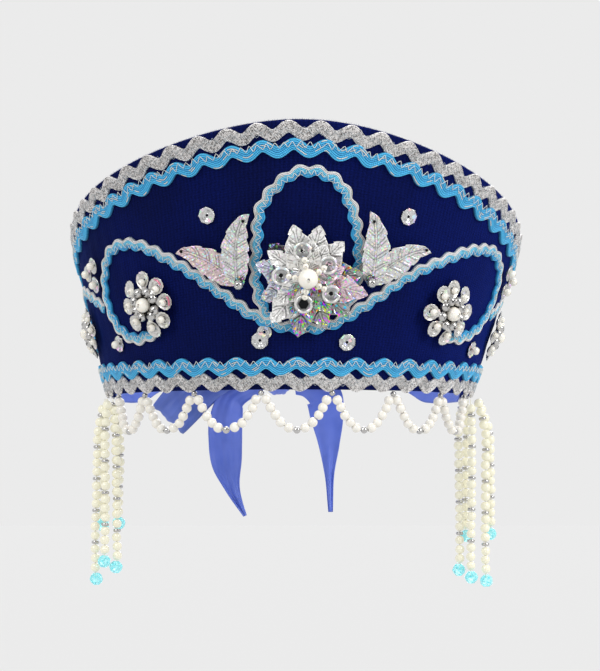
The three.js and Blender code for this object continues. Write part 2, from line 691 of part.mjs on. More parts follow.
function addBow() {
  const knot = new THREE.SphereGeometry(1, 12, 8).scale(KNOT_SIZE.x, KNOT_SIZE.y, KNOT_SIZE.z);
  addMesh('ribbon_knot', knot, SATIN).position.copy(KNOT_CENTRE);

  const loopLeft = [
    { x: -12, y: 100, z: 17, half: 4, tip: 0 },
    { x: -20, y: 103.4, z: 18.4, half: 8.5, tip: -6 },
    { x: -30, y: 105.2, z: 16.6, half: 10.5, tip: -22 },
    { x: -42, y: 105.4, z: 8.5, half: 11, tip: -40 },
    { x: -52, y: 104, z: -1.5, half: 11, tip: -46 },
    { x: -57.2, y: 101.2, z: -7.4, half: 10.6, tip: -48 },
    { x: -58.6, y: 98.4, z: -9, half: 10.4, tip: -48 },
    { x: -57, y: 95.8, z: -7.4, half: 10.6, tip: -48 },
    { x: -51, y: 93.6, z: -1, half: 11, tip: -46 },
    { x: -40, y: 93.2, z: 9.2, half: 10.5, tip: -40 },
    { x: -28, y: 94, z: 15.6, half: 9.5, tip: -22 },
    { x: -19, y: 94.6, z: 16.6, half: 7, tip: -6 },
    { x: -12.2, y: 95.4, z: 15.8, half: 3.4, tip: 0 },
  ];
  const loopRight = [
    { x: 10, y: 100, z: 17, half: 4, tip: 0 },
    { x: 18, y: 103.4, z: 19.4, half: 8.5, tip: 2 },
    { x: 29, y: 105.2, z: 21.4, half: 10, tip: 4 },
    { x: 42, y: 104.4, z: 21, half: 10.5, tip: -2 },
    { x: 53, y: 101, z: 18.6, half: 10.5, tip: -8 },
    { x: 58.6, y: 97.4, z: 17, half: 10.2, tip: -10 },
    { x: 60, y: 94.4, z: 16.6, half: 10, tip: -10 },
    { x: 57.6, y: 92, z: 17, half: 10.2, tip: -10 },
    { x: 50, y: 91, z: 18.4, half: 10.5, tip: -6 },
    { x: 39, y: 92.4, z: 20, half: 10, tip: 0 },
    { x: 27, y: 94.4, z: 19, half: 9, tip: 4 },
    { x: 17, y: 95.4, z: 17, half: 6.6, tip: 2 },
    { x: 10.2, y: 95.6, z: 15.6, half: 3.4, tip: 0 },
  ];
  const tailLeft = [
    { x: -9, y: 98.8, z: 8.6, half: 3.2 },
    { x: -16, y: 98.9, z: 7, half: 5 },
    { x: -24.6, y: 99, z: 2.4, half: 7.4 },
    { x: -28, y: 99, z: -8, half: 9 },
    { x: -28.4, y: 99, z: -20, half: 8.6 },
    { x: -27.6, y: 99, z: -32, half: 7.4 },
    { x: -24.8, y: 98.9, z: -44, half: 4 },
    { x: -18, y: 98.8, z: -59, half: 0.8 },
  ];
  const tailRight = [
    { x: 8.2, y: 98.9, z: 7.6, half: 3 },
    { x: 13, y: 98.9, z: 8, half: 4.6 },
    { x: 22.4, y: 99, z: 4.6, half: 9.6 },
    { x: 24.8, y: 99, z: -7, half: 9.2 },
    { x: 26, y: 99, z: -22, half: 5.6 },
    { x: 26.2, y: 98.9, z: -36, half: 2.6 },
    { x: 26.8, y: 98.8, z: -57, half: 1.2 },
  ];
  addMesh('ribbon_loop_left', ribbonBand(loopLeft), SATIN);
  addMesh('ribbon_loop_right', ribbonBand(loopRight), SATIN);
  addMesh('ribbon_tail_left', ribbonBand(tailLeft), SATIN);
  addMesh('ribbon_tail_right', ribbonBand(tailRight), SATIN);
}

addCrown();
addRicrac();
addBraids();
addLeaves();
addSequins();
addCentreFlower();
addSideFlowers();
addTrefoils();
addSwags();
addTassels();
addRibbonTies();
addBow();

export default headdress;
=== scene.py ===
"""Looks of the kokoshnik headdress: velvet wall, wavy braids, foil flowers, pearl strings and ribbon."""
import math

import bpy
import numpy as np
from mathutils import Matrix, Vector


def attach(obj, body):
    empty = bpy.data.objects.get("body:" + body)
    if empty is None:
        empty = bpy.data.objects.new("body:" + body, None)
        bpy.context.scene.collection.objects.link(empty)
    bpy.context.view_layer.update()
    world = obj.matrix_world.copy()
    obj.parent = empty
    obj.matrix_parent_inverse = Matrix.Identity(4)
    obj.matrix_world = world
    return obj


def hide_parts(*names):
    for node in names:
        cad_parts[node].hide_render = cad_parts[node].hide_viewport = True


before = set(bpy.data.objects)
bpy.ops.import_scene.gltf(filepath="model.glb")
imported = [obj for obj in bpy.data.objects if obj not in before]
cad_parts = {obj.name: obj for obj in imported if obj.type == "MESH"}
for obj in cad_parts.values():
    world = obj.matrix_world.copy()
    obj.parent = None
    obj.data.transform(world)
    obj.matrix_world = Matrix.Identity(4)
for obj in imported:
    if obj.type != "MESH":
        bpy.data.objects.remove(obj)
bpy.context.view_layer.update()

# Lengths are millimetres and angles degrees, made metres when a mesh is made.
MM = 0.001
TURN = 2 * math.pi

# Crown wall, as in the part's source
RIM_RADIUS = 89.0
FLARE = 0.2765
SIDE_LEAN = 0.05
WALL = 2.4
FRONT_HEIGHT = 121.7
TOP_SLOPE = 0.669
TOP_ROUND = 21.2
TOP_MIDDLE = -2.15
TOP_TILT = 0.0276
TILT_RADIUS = 111.0
SHOULDER = 92.0
END_ANGLE = 124.0
END_DROP = 14.5
END_POWER = 2.0
END_CORNER = 6.0
SLOPE = math.hypot(1, FLARE)

# Camera, from the fit of the photograph
CAMERA_AROUND = -2.98
CAMERA_DISTANCE = 1.5
CAMERA_UP = -0.0514
CAMERA_PITCH = 3.113
CAMERA_LENS = 182.9
CAMERA_SHIFT = 0.0178
FLOOR_UP = -0.30
PALE = 0.831
FLOOR_GLOW = 0.695
ROOM_FRONT = 0.25
ROOM_SIDE = 0.8


# Shapes


def unit(v):
    return v / np.maximum(np.linalg.norm(v, axis=-1, keepdims=True), 1e-12)


def ease(x, low, high):
    """0 below low, 1 above high, smooth between."""
    t = np.clip((np.asarray(x, float) - low) / (high - low), 0, 1)
    return t * t * (3 - 2 * t)


def wall_radius(up):
    return RIM_RADIUS + FLARE * up


def wall_normal(around):
    a = np.radians(around)
    return unit(np.stack([np.sin(a), -np.cos(a), -FLARE - SIDE_LEAN * np.sin(a)], -1))


def wall_point(around, up, off=0.0):
    """A point on the wall's outer face, or off it along the face's normal."""
    around, up, off = np.broadcast_arrays(*(np.asarray(x, float) for x in (around, up, off)))
    a = np.radians(around)
    radius = wall_radius(up)
    point = np.stack([radius * np.sin(a) + SIDE_LEAN * up, -radius * np.cos(a), up], -1)
    return point + off[..., None] * wall_normal(around)


def top_edge(around):
    a = np.abs(np.asarray(around, float) - TOP_MIDDLE)
    fall = TOP_SLOPE * (np.hypot(a, TOP_ROUND) - TOP_ROUND)
    end = END_DROP * (np.maximum(a - SHOULDER, 0) / (END_ANGLE - SHOULDER)) ** END_POWER
    tilt = TOP_TILT * TILT_RADIUS * np.sin(np.radians(around))
    return FRONT_HEIGHT - fall - end - tilt


def rim_edge(around):
    return 0.0 * around


def on_wall(local, around, up, off=0.0, turn=0.0, follow=1.0):
    """Local x to the right, y up the slope and z outwards, set on the wall and bent round it by follow."""
    local = np.asarray(local, float)
    c, s = math.cos(math.radians(turn)), math.sin(math.radians(turn))
    x = c * local[..., 0] - s * local[..., 1]
    y = s * local[..., 0] + c * local[..., 1]
    z = local[..., 2]
    a = math.radians(around)
    across = np.array([math.cos(a), math.sin(a), 0])
    out = wall_normal(around)
    slope = np.cross(out, across)
    flat = wall_point(around, up, off) + x[..., None] * across + y[..., None] * slope + z[..., None] * out
    place_up = up + y / SLOPE
    bent = wall_point(around + np.degrees(x / wall_radius(place_up)), place_up, off + z)
    return flat * (1 - follow) + bent * follow


def noise(points, scale, seed=0):
    """Smooth noise from -1 to 1, a sum of seeded waves."""
    rng = np.random.default_rng(seed)
    points = np.asarray(points, float)
    total = np.zeros(points.shape[:-1])
    waves = 9
    for _ in range(waves):
        way = rng.normal(size=points.shape[-1])
        total += np.sin(points @ way * (TURN / scale / 1.7) + rng.uniform(0, TURN))
    return total / math.sqrt(waves)


class Shape:
    """Points, faces and uv places of one mesh. Each face group has its own material index."""

    def __init__(self):
        self.points, self.uvs, self.faces, self.paints = [], [], [], []
        self.count = 0

    def add(self, points, faces, uv=None, paint=0):
        points = np.asarray(points, float).reshape(-1, 3)
        uv = np.zeros((len(points), 2)) if uv is None else np.asarray(uv, float).reshape(-1, 2)
        self.points.append(points)
        self.uvs.append(uv)
        for group in faces if isinstance(faces, list) else [faces]:
            self.faces.append(np.asarray(group, int) + self.count)
            self.paints.append(paint)
        self.count += len(points)
        return self

    def copies(self, points, faces, places, paint=0, uv=None):
        """The same small mesh at each 4 by 4 placement."""
        points = np.asarray(points, float)
        for place in places:
            self.add(points @ place[:3, :3].T + place[:3, 3], faces, uv, paint)
        return self

    def make(self, name, materials, slot, replaces=(), smooth=True):
        points, uv = np.concatenate(self.points) * MM, np.concatenate(self.uvs)
        corners = np.concatenate([group.ravel() for group in self.faces])
        sizes = np.concatenate([np.full(len(group), group.shape[1]) for group in self.faces])
        paints = np.concatenate([np.full(len(g), p) for g, p in zip(self.faces, self.paints)])
        mesh = bpy.data.meshes.new(name)
        mesh.vertices.add(len(points))
        mesh.vertices.foreach_set("co", points.ravel())
        mesh.loops.add(len(corners))
        mesh.loops.foreach_set("vertex_index", corners)
        mesh.polygons.add(len(sizes))
        mesh.polygons.foreach_set("loop_start", np.cumsum(sizes) - sizes)
        mesh.polygons.foreach_set("material_index", paints)
        mesh.polygons.foreach_set("use_smooth", np.full(len(sizes), smooth))
        mesh.uv_layers.new(name="UVMap").uv.foreach_set("vector", uv[corners].ravel())
        mesh.update()
        mesh.validate()
        for material in materials:
            mesh.materials.append(material)
        piece = bpy.data.objects.new(name, mesh)
        bpy.context.scene.collection.objects.link(piece)
        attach(piece, "root")
        if replaces:
            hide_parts(*replaces)
        return piece


def grid_faces(rows, columns, closed=False):
    """Quads of a grid, rows by columns. A closed grid joins its last column to its first."""
    wide = columns if closed else columns - 1
    r, c = np.meshgrid(np.arange(rows - 1), np.arange(wide), indexing="ij")
    right = (c + 1) % columns
    corners = [r * columns + c, r * columns + right, (r + 1) * columns + right, (r + 1) * columns + c]
    return np.stack(corners, -1).reshape(-1, 4)


def grid_uv(u, v):
    return np.stack(np.meshgrid(u, v, indexing="ij"), -1)


def loft_faces(rows, columns):
    """A closed body through rings: its side quads and two end caps."""
    ends = [np.arange(columns)[::-1][None], (np.arange(columns) + (rows - 1) * columns)[None]]
    return [grid_faces(rows, columns, True), *ends]


def ball(radius, sides=16, rows=10):
    """A sphere with poles on z: points and faces."""
    lat = np.pi * np.arange(1, rows) / rows
    lon = TURN * np.arange(sides) / sides
    ring = np.stack([np.sin(lat)[:, None] * np.cos(lon), np.sin(lat)[:, None] * np.sin(lon),
                     np.cos(lat)[:, None] + 0 * lon], -1).reshape(-1, 3)
    points = np.concatenate([ring, [[0, 0, 1], [0, 0, -1]]]) * radius
    quads = grid_faces(rows - 1, sides, True)[:, ::-1]
    i = np.arange(sides)
    top, low, last = len(ring), len(ring) + 1, (rows - 2) * sides
    caps = np.concatenate([np.stack([0 * i + top, i, (i + 1) % sides], -1),
                           np.stack([0 * i + low, last + (i + 1) % sides, last + i], -1)])
    return points, [quads[:, ::-1], caps]


def lathe(profile, sides):
    """An open surface of revolution about z through (radius, height) rows, outer face up or outwards."""
    profile = np.asarray(profile, float)
    lon = TURN * np.arange(sides) / sides
    x, y = profile[:, :1] * np.cos(lon), profile[:, :1] * np.sin(lon)
    points = np.stack([x, y, profile[:, 1:] + 0 * lon], -1)
    return points, grid_faces(len(profile), sides, True)


def frames_along(path, normal=None):
    """Two square directions at each point of a path, turned as little as may be, or set by a normal."""
    path = np.asarray(path, float)
    along = unit(np.gradient(path, axis=0))
    if normal is None:
        first = np.cross(along[0], [0.31, 0.17, 0.93])
        normal = [unit(first)]
        for tangent in along[1:]:
            last = normal[-1]
            normal.append(unit(last - tangent * np.dot(last, tangent)))
        normal = np.array(normal)
    side = unit(np.cross(normal, along))
    return side, np.cross(along, side)


def tube(shape, path, radius, sides=6, paint=0, normal=None, flat=1.0):
    """A thread along a path with closed ends."""
    path = np.asarray(path, float)
    side, up = frames_along(path, normal)
    a = TURN * np.arange(sides) / sides
    radius = np.broadcast_to(np.asarray(radius, float), len(path))
    ring = side[:, None] * np.cos(a)[:, None] + up[:, None] * (flat * np.sin(a))[:, None]
    ring = ring * radius[:, None, None]
    length = np.concatenate([[0], np.cumsum(np.linalg.norm(np.diff(path, axis=0), axis=1))])
    uv = grid_uv(length, a)
    shape.add(path[:, None] + ring, loft_faces(len(path), sides), uv, paint)


def placement(centre, out, spin=0.0, size=1.0):
    """A 4 by 4 placement whose z looks along out."""
    out = unit(np.asarray(out, float))
    side = unit(np.cross([0, 0, 1.0] if abs(out[2]) < 0.9 else [0, 1.0, 0], out))
    up = np.cross(out, side)
    c, s = math.cos(spin), math.sin(spin)
    place = np.eye(4)
    place[:3, 0], place[:3, 1] = size * (c * side + s * up), size * (c * up - s * side)
    place[:3, 2], place[:3, 3] = size * out, centre
    return place


# Materials


class Shader:
    """A material with one main surface shader. node() gives back one output of a new node."""

    def __init__(self, name, **surface):
        self.material = bpy.data.materials.new(name)
        self.material.use_nodes = True
        self.tree = self.material.node_tree
        self.surface = self.tree.nodes["Principled BSDF"]
        for socket, value in surface.items():
            self.put(self.surface, socket.replace("_", " "), value)

    def put(self, node, socket, value):
        target = node.inputs[socket]
        if isinstance(value, bpy.types.NodeSocket):
            self.tree.links.new(value, target)
        elif hasattr(target.default_value, "__len__") and len(target.default_value) == 4 and len(value) == 3:
            target.default_value = (*value, 1)
        else:
            target.default_value = value

    def node(self, kind, out=0, settings=None, **inputs):
        node = self.tree.nodes.new("ShaderNode" + kind)
        for key, value in (settings or {}).items():
            setattr(node, key, value)
        for socket, value in inputs.items():
            self.put(node, int(socket[1:]) if socket[0] == "i" and socket[1:].isdigit() else socket, value)
        return node.outputs[out]

    def sum(self, operation, *values):
        inputs = {f"i{n}": value for n, value in enumerate(values)}
        return self.node("Math", settings={"operation": operation}, **inputs)

    def times(self, *values):
        return self.sum("MULTIPLY", *values)

    def plus(self, *values):
        return self.sum("ADD", *values)

    def mix(self, share, a, b, blend="MIX"):
        settings = {"data_type": "RGBA", "blend_type": blend}
        return self.node("Mix", 2, settings, i0=share, i6=a, i7=b)

    def ramp(self, value, stops, constant=False):
        node = self.tree.nodes.new("ShaderNodeValToRGB")
        node.color_ramp.interpolation = "CONSTANT" if constant else "LINEAR"
        while len(node.color_ramp.elements) < len(stops):
            node.color_ramp.elements.new(0.5)
        for element, (place, color) in zip(node.color_ramp.elements, stops):
            element.position = place
            element.color = (*color, 1)
        self.put(node, "Fac", value)
        return node.outputs[0]

    def grey(self, value, low, high):
        return self.node("MapRange", Value=value, **{"From Min": low, "From Max": high})

    def place(self, kind="Object"):
        return self.node("TexCoord", ("Generated", "Normal", "UV", "Object").index(kind))

    def speck(self, scale, out=0, vector=None, feature="F1"):
        outputs = {"distance": 0, "color": 1}
        vector = vector or self.place()
        return self.node("TexVoronoi", outputs.get(out, 0), {"feature": feature}, Vector=vector, Scale=scale)

    def fog(self, scale, detail=3.0, vector=None):
        return self.node("TexNoise", Vector=vector or self.place(), Scale=scale, Detail=detail)

    def bump(self, height, strength, distance=0.001):
        normal = self.node("Bump", Height=height, Strength=strength, Distance=distance)
        self.put(self.surface, "Normal", normal)
        return self

    def color(self, value):
        self.put(self.surface, "Base Color", value)
        return self


def velvet_material():
    s = Shader("velvet", Roughness=0.85, Sheen_Weight=0.10, Sheen_Roughness=0.35,
               Sheen_Tint=(0.05, 0.20, 1.0))
    s.put(s.surface, "Specular IOR Level", 0.03)
    uv = s.place("UV")
    along = s.node("SeparateXYZ", 0, Vector=uv)
    rise = s.node("SeparateXYZ", 1, Vector=uv)
    drift = s.times(s.fog(300.0, 3.0), 5.5)
    rib = s.sum("SINE", s.plus(s.times(along, TURN / 1.55), drift))
    row = s.sum("SINE", s.plus(s.times(rise, TURN / 1.3), drift))
    pile = s.fog(2300.0, 2.0)
    weave = s.plus(s.times(rib, 0.08), s.times(row, 0.06))
    tone = s.plus(weave, s.times(pile, 1.1))
    deep = s.ramp(s.sum("SUBTRACT", tone, 0.15),
                  [(0.1, (0.0012, 0.0021, 0.017)), (0.75, (0.0042, 0.0082, 0.074))])
    # Painted light: towards the right side (20 to 150 mm along) the base is mixed up to a brighter blue, as
    # if lit from the right; fog patches mix in the same blue at random.
    nap_tone_and_painted_light = s.mix(1.0, deep, (1.05, 1.95, 3.0), "MULTIPLY")
    side = s.grey(along, 20.0, 150.0)
    patch = s.times(s.grey(s.fog(26.0, 3.0), 0.3, 0.75), 0.8)
    s.color(s.mix(s.plus(s.times(side, 0.8), s.times(patch, 0.4)), deep, nap_tone_and_painted_light))
    return s.bump(tone, 0.6, 0.0004).material


def cord_material(name, bands, speck_share, cords):
    """Parallel cords with silver dashes. Each band is (share of the width where it starts, color)."""
    s = Shader(name, Roughness=0.5, Sheen_Weight=0.12, Sheen_Roughness=0.4)
    s.put(s.surface, "Specular IOR Level", 0.25)
    uv = s.place("UV")
    across = s.node("SeparateXYZ", 1, Vector=uv)
    along = s.node("SeparateXYZ", 0, Vector=uv)
    base = s.ramp(across, bands, constant=True)
    count = s.times(across, cords)
    # Painted shade: light is low in the grooves between the cords and along each ply's twist, and the colour
    # is mixed darker there; the fog adds random tone.
    groove = s.sum("POWER", s.sum("ABSOLUTE", s.sum("SINE", s.times(count, math.pi))), 1.3)
    ply = s.sum("SINE", s.plus(s.times(along, 8.0), s.times(count, 4.0)))
    mottle_and_twist_shade = s.plus(s.times(s.fog(1100.0, 3.0), 0.5), s.times(ply, 0.09))
    light = s.plus(s.times(groove, 0.62), mottle_and_twist_shade)
    shade = s.mix(s.grey(light, 0.12, 0.8), s.mix(1.0, base, (0.20, 0.36, 0.50), "MULTIPLY"), base)
    lane = s.sum("FLOOR", count)
    chance = s.node("TexWhiteNoise", 0, {"noise_dimensions": "2D"},
                    Vector=s.node("CombineXYZ", X=s.sum("FLOOR", s.plus(s.times(along, 0.42),
                                                                  s.times(lane, 0.37))), Y=lane))
    lurex = s.sum("GREATER_THAN", chance, 1 - speck_share)
    thin = s.sum("LESS_THAN", s.sum("ABSOLUTE", s.sum("SUBTRACT", s.sum("FRACT", count), 0.5)), 0.24)
    lurex = s.times(lurex, thin)
    s.color(s.mix(lurex, shade, (0.66, 0.64, 0.56)))
    s.put(s.surface, "Metallic", s.times(lurex, 0.5))
    return s.bump(s.plus(ply, groove), 0.4, 0.0003).material


def lurex_material(name, tone, metallic=0.3):
    s = Shader(name, Metallic=metallic, Roughness=0.38)
    uv = s.place("UV")
    across = s.times(s.node("SeparateXYZ", 1, Vector=uv), 9.0)
    along = s.node("SeparateXYZ", 0, Vector=uv)
    groove = s.sum("ABSOLUTE", s.sum("SINE", s.times(across, math.pi)))
    knit = s.sum("ABSOLUTE", s.sum("SINE", s.plus(s.times(along, 3.4), across)))
    cell = s.node("SeparateColor", 0, Color=s.speck(1500.0, "color"))
    fine = s.node("SeparateColor", 1, Color=s.speck(2700.0, "color"))
    value = s.plus(s.times(cell, 0.55), s.times(fine, 0.35))
    # Painted shade: the colour is darker in the grooves between the cords, where the groove and knit waves
    # are low.
    value = s.plus(value, s.times(s.times(groove, knit), 0.35))
    low = tuple(0.14 * c for c in tone)
    mid = tuple(0.62 * c for c in tone)
    s.color(s.ramp(value, [(0.25, low), (0.42, mid), (0.54, tone), (0.78, (1.0, 0.98, 0.97))]))
    return s.bump(s.plus(fine, groove), 0.7, 0.0005).material


def foil_material(name, base, tint_share, cells=1250.0, vivid=0.5, metallic=0.85, rough=0.22, veins=0.0):
    """Film with rainbow chips over the base color, with painted shade in the pressed veins that the uv gives.
    """
    s = Shader(name, Metallic=metallic, Roughness=rough)
    cell = s.node("SeparateColor", 0, Color=s.speck(cells, "color"))
    hue = s.sum("FRACT", s.plus(cell, s.times(s.fog(95.0, 1.0), 2.4)))
    rainbow = s.node("CombineColor", 0, {"mode": "HSV"}, i0=hue, i1=vivid, i2=1.0)
    where = s.ramp(s.node("SeparateColor", 1, Color=s.speck(cells, "color")),
                   [(0.0, (0, 0, 0)), (1 - tint_share, (0, 0, 0)), (min(1.0, 1.05 - tint_share), (1, 1, 1))])
    grain = s.mix(s.grey(s.fog(cells * 0.8, 2.0), 0.3, 0.55), tuple(0.58 * c for c in base), base)
    film = s.mix(where, grain, rainbow)
    if veins:
        depth = s.node("SeparateXYZ", 0, Vector=s.place("UV"))
        line = s.times(s.grey(depth, 0.15, 0.85), veins)
        film = s.mix(line, film, tuple(0.13 * c for c in base))
    s.color(film)
    return s.bump(s.speck(cells * 0.8), 0.16, 0.0004).material


def plain_metal(name, color, rough=0.2):
    s = Shader(name, Metallic=0.9, Roughness=rough)
    s.color(s.mix(s.fog(700.0), color, tuple(0.75 * c for c in color)))
    return s.bump(s.fog(1200.0), 0.12, 0.0003).material


def pearl_material(name="pearl", blue=1.0, glow=0.0, share=1.0):
    s = Shader(name, Roughness=0.2, Coat_Weight=0.6, Coat_Roughness=0.08)
    # Painted light: an emission as strong as glow lifts the pearl's shade, though the pearl is no lamp.
    s.put(s.surface, "Emission Color", (0.90, 0.88, 0.86 * blue, 1))
    s.put(s.surface, "Emission Strength", glow)
    s.put(s.surface, "Subsurface Weight", 0.12)
    s.put(s.surface, "Subsurface Radius", (0.002, 0.0016, 0.0012))
    # Painted shade: Layer Weight mixes the colour darker towards each pearl's outline as seen.
    painted_rim_shade = s.node("LayerWeight", 1, Blend=0.35)
    low = (0.86 * share, 0.82 * share, 0.72 * blue * share)
    high = (0.93 * share, 0.91 * share, 0.86 * blue * share)
    cream = s.mix(s.fog(260.0, 2.0), low, high)
    s.color(s.mix(s.times(painted_rim_shade, 0.5), cream, (0.74 * share, 0.66 * share, 0.52 * share)))
    return s.bump(s.fog(1500.0), 0.05, 0.0003).material


def crystal_material():
    s = Shader("crystal", Roughness=0.03, IOR=1.52)
    s.put(s.surface, "Transmission Weight", 0.55)
    # Painted light: the bead glows faintly cyan, though it is no lamp.
    s.put(s.surface, "Emission Color", (0.30, 0.78, 0.82, 1))
    s.put(s.surface, "Emission Strength", 0.16)
    s.color(s.mix(s.grey(s.speck(700.0), 0.2, 0.8), (0.16, 0.66, 0.72), (0.62, 0.93, 0.95)))
    return s.bump(s.fog(800.0), 0.04, 0.0003).material


def satin_material(name, dark, light):
    s = Shader(name, Roughness=0.34, Sheen_Weight=0.3, Sheen_Roughness=0.3, Sheen_Tint=(0.5, 0.6, 1.0))
    s.put(s.surface, "Specular IOR Level", 0.45)
    uv = s.place("UV")
    weave = s.node("TexWave", 0, {"bands_direction": "X"}, Vector=uv, Scale=1.7, Distortion=0.4)
    rib = s.node("TexWave", 0, {"bands_direction": "Y"}, Vector=uv, Scale=1.1, Distortion=0.6)
    s.color(s.mix(s.grey(s.fog(70.0, 2.0), 0.3, 0.7), dark, light))
    return s.bump(s.plus(weave, rib), 0.18, 0.0002).material


def thread_material(name, color, metallic=0.0):
    s = Shader(name, Metallic=metallic, Roughness=0.3)
    s.color(s.mix(s.fog(1400.0), color, tuple(0.8 * c for c in color)))
    return s.bump(s.fog(3000.0), 0.2, 0.0002).material


SKY_CORD = (0.075, 0.50, 0.83)
PALE_CORD = (0.20, 0.66, 0.88)
DEEP_CORD = (0.055, 0.43, 0.78)
MID_CORD = (0.055, 0.40, 0.72)
EDGE_CORD = (0.86, 0.80, 0.77)
VELVET = velvet_material()
BLUE_WAVE = cord_material("blue_wave_cord", [(0.0, SKY_CORD), (0.45, MID_CORD), (0.72, SKY_CORD)], 0.13, 6)
BRAID = cord_material("braid_cord", [(0.0, DEEP_CORD), (0.36, PALE_CORD), (0.70, EDGE_CORD)], 0.16, 7)
LUREX = lurex_material("silver_lurex", (0.76, 0.73, 0.72))
SILVER_FOIL = foil_material("silver_foil", (1.0, 0.99, 0.97), 0.08, vivid=0.18, metallic=0.45, veins=0.75)
HOLO_FOIL = foil_material("rainbow_foil", (0.44, 0.45, 0.44), 0.27, 1050.0, 0.95, 0.6, 0.22, 0.8)
BLUE_FOIL = foil_material("blue_tinted_foil", (0.72, 0.76, 0.88), 0.22, vivid=0.5, metallic=0.6, veins=0.7)
PINK_FOIL = foil_material("pink_tinted_foil", (0.90, 0.70, 0.78), 0.26, vivid=0.6, metallic=0.6, veins=0.6)
DARK_FOIL = foil_material("shaded_foil", (0.16, 0.16, 0.18), 0.35, vivid=0.7, veins=0.5)
LEAF_FOIL = foil_material("leaf_foil", (0.66, 0.66, 0.65), 0.28, 1500.0, 0.38, 0.4, 0.3, 0.8)
LEAF_PINK = foil_material("leaf_pink_foil", (0.70, 0.55, 0.56), 0.28, 1500.0, 0.42, 0.4, 0.3, 0.8)
SEQUIN_FILM = foil_material("sequin_film", (0.66, 0.66, 0.66), 0.18, 620.0, 0.35, 0.8, 0.16)
PETAL_FILM = foil_material("petal_film", (0.70, 0.69, 0.67), 0.10, 800.0, 0.22, 0.6, 0.24)
# Painted light and shade: the cup rim film is a lighter and the inner film a darker copy of one cup foil.
CUP_LIT_FILM = foil_material("cup_rim_painted_light_film", (0.80, 0.79, 0.77), 0.12, 700.0, 0.25, 0.6, 0.22)
CUP_SHADE = foil_material("cup_inner_painted_shade_film", (0.42, 0.42, 0.42), 0.12, 900.0, 0.3, 0.7, 0.22)
PINK_EDGE = plain_metal("pink_edge", (0.95, 0.30, 0.42), 0.35)
BLACK_HOLE = plain_metal("dark_facet", (0.012, 0.012, 0.014), 0.3)
SILVER_BEAD = plain_metal("silver_bead", (0.62, 0.61, 0.60), 0.10)
PEARL = pearl_material()
CRYSTAL = crystal_material()
SATIN = satin_material("satin", (0.085, 0.150, 0.62), (0.150, 0.225, 0.76))
SATIN_SHADE = satin_material("satin_shaded", (0.050, 0.100, 0.38), (0.105, 0.165, 0.54))
# Painted light: the tassel and strung pearls glow (0.30 and 0.12) to lift their shade.
TASSEL_PEARL = pearl_material("tassel_pearl", 0.85, 0.30, 0.72)
STRUNG_PEARL = pearl_material("strung_pearl", 1.0, 0.12, 0.82)
CLEAR_THREAD = thread_material("clear_thread", (0.50, 0.56, 0.60))
SILVER_THREAD = thread_material("silver_thread", (0.80, 0.82, 0.78), 0.1)
TINSEL = thread_material("tinsel", (0.62, 0.60, 0.58), 0.6)
PILE = thread_material("velvet_pile", (0.010, 0.030, 0.24))


# Velvet wall


def add_wall():
    """The stiff wall as one closed skin: out, over the top edge, in, and under the rim."""
    steps = 320
    around = np.linspace(-END_ANGLE, END_ANGLE, steps)
    to_end = (END_ANGLE - np.abs(around)) * math.radians(1) * RIM_RADIUS
    near_end = np.clip(END_CORNER - to_end, 0, END_CORNER)
    corner = END_CORNER - np.sqrt(END_CORNER ** 2 - near_end ** 2)
    top, low = top_edge(around) - corner, 0.4 * corner
    roll = np.linspace(0, math.pi, 7)[1:-1]
    lift = np.linspace(0, 1, 22)
    half = WALL / 2
    rows = []
    for share in lift:
        rows.append((low + half + (top - low - WALL) * share, 0.0))
    for a in roll:
        rows.append((top - half + half * math.sin(a), -half + half * math.cos(a)))
    for share in lift[::-1]:
        rows.append((low + half + (top - low - WALL) * share, -WALL))
    for a in roll:
        rows.append((low + half - half * math.sin(a), -half - half * math.cos(a)))
    rings = np.stack([wall_point(around, up, off) for up, off in rows], 1)
    middle = wall_point(around, (top + low) / 2, -half)[:, None]
    swell = noise(rings, 17.0, 3) * 0.16 + noise(rings, 5.5, 4) * 0.05
    rings = rings + swell[..., None] * wall_normal(around)[:, None]
    length = np.radians(around) * RIM_RADIUS
    profile = rings[steps // 2]
    height = np.cumsum(np.linalg.norm(np.diff(profile, axis=0, prepend=profile[:1]), axis=1))
    closing = []
    for index in (0, -1):
        ring, inward = rings[index], wall_normal(around[index])
        depth = (ring - middle[index]) @ inward
        for a in (0.35, 0.7):
            closing.append(ring - np.outer(depth * (1 - math.cos(a * math.pi / 2)), inward))
    rings = np.concatenate([[closing[1], closing[0]], rings, [closing[2], closing[3]]])
    length = np.concatenate([[length[0]] * 2, length, [length[-1]] * 2])
    faces = [f[:, ::-1] for f in loft_faces(len(rings), rings.shape[1])]
    shape = Shape().add(rings, faces, grid_uv(length, height))
    shape.make("velvet_wall", [VELVET], "velvet", ["crown_wall"])


def add_pile():
    """Short velvet pile that stands up along the top edge."""
    rng = np.random.default_rng(8)
    shape = Shape()
    count = 5200
    around = rng.uniform(-END_ANGLE + 4, END_ANGLE - 4, count)
    base = wall_point(around, top_edge(around) - 0.5, rng.uniform(-WALL + 0.3, -0.2, count))
    lean = np.stack([rng.normal(0, 0.35, count), rng.normal(0, 0.35, count), np.ones(count)], -1)
    tip = base + unit(lean) * rng.uniform(0.7, 1.5, count)[:, None]
    side = unit(np.cross(lean, rng.normal(size=(count, 3)))) * 0.05
    points = np.stack([base - side, base + side, tip], 1).reshape(-1, 3)
    shape.add(points, np.arange(3 * count).reshape(-1, 3))
    shape.make("velvet_edge_pile", [PILE], "velvet")


# Wavy braids and flat braids


def edge_track(edge, end, inset):
    """Angles and heights along an edge, inset down the slope."""
    around = np.linspace(-end, end, 2400)
    up = edge(around)
    reach = np.radians(1) * wall_radius(up)
    slope = np.gradient(up, around) * SLOPE / reach
    tilt = np.arctan(slope)
    around = around + inset * np.sin(tilt) / reach
    up = up - inset * np.cos(tilt) / SLOPE
    return around, up


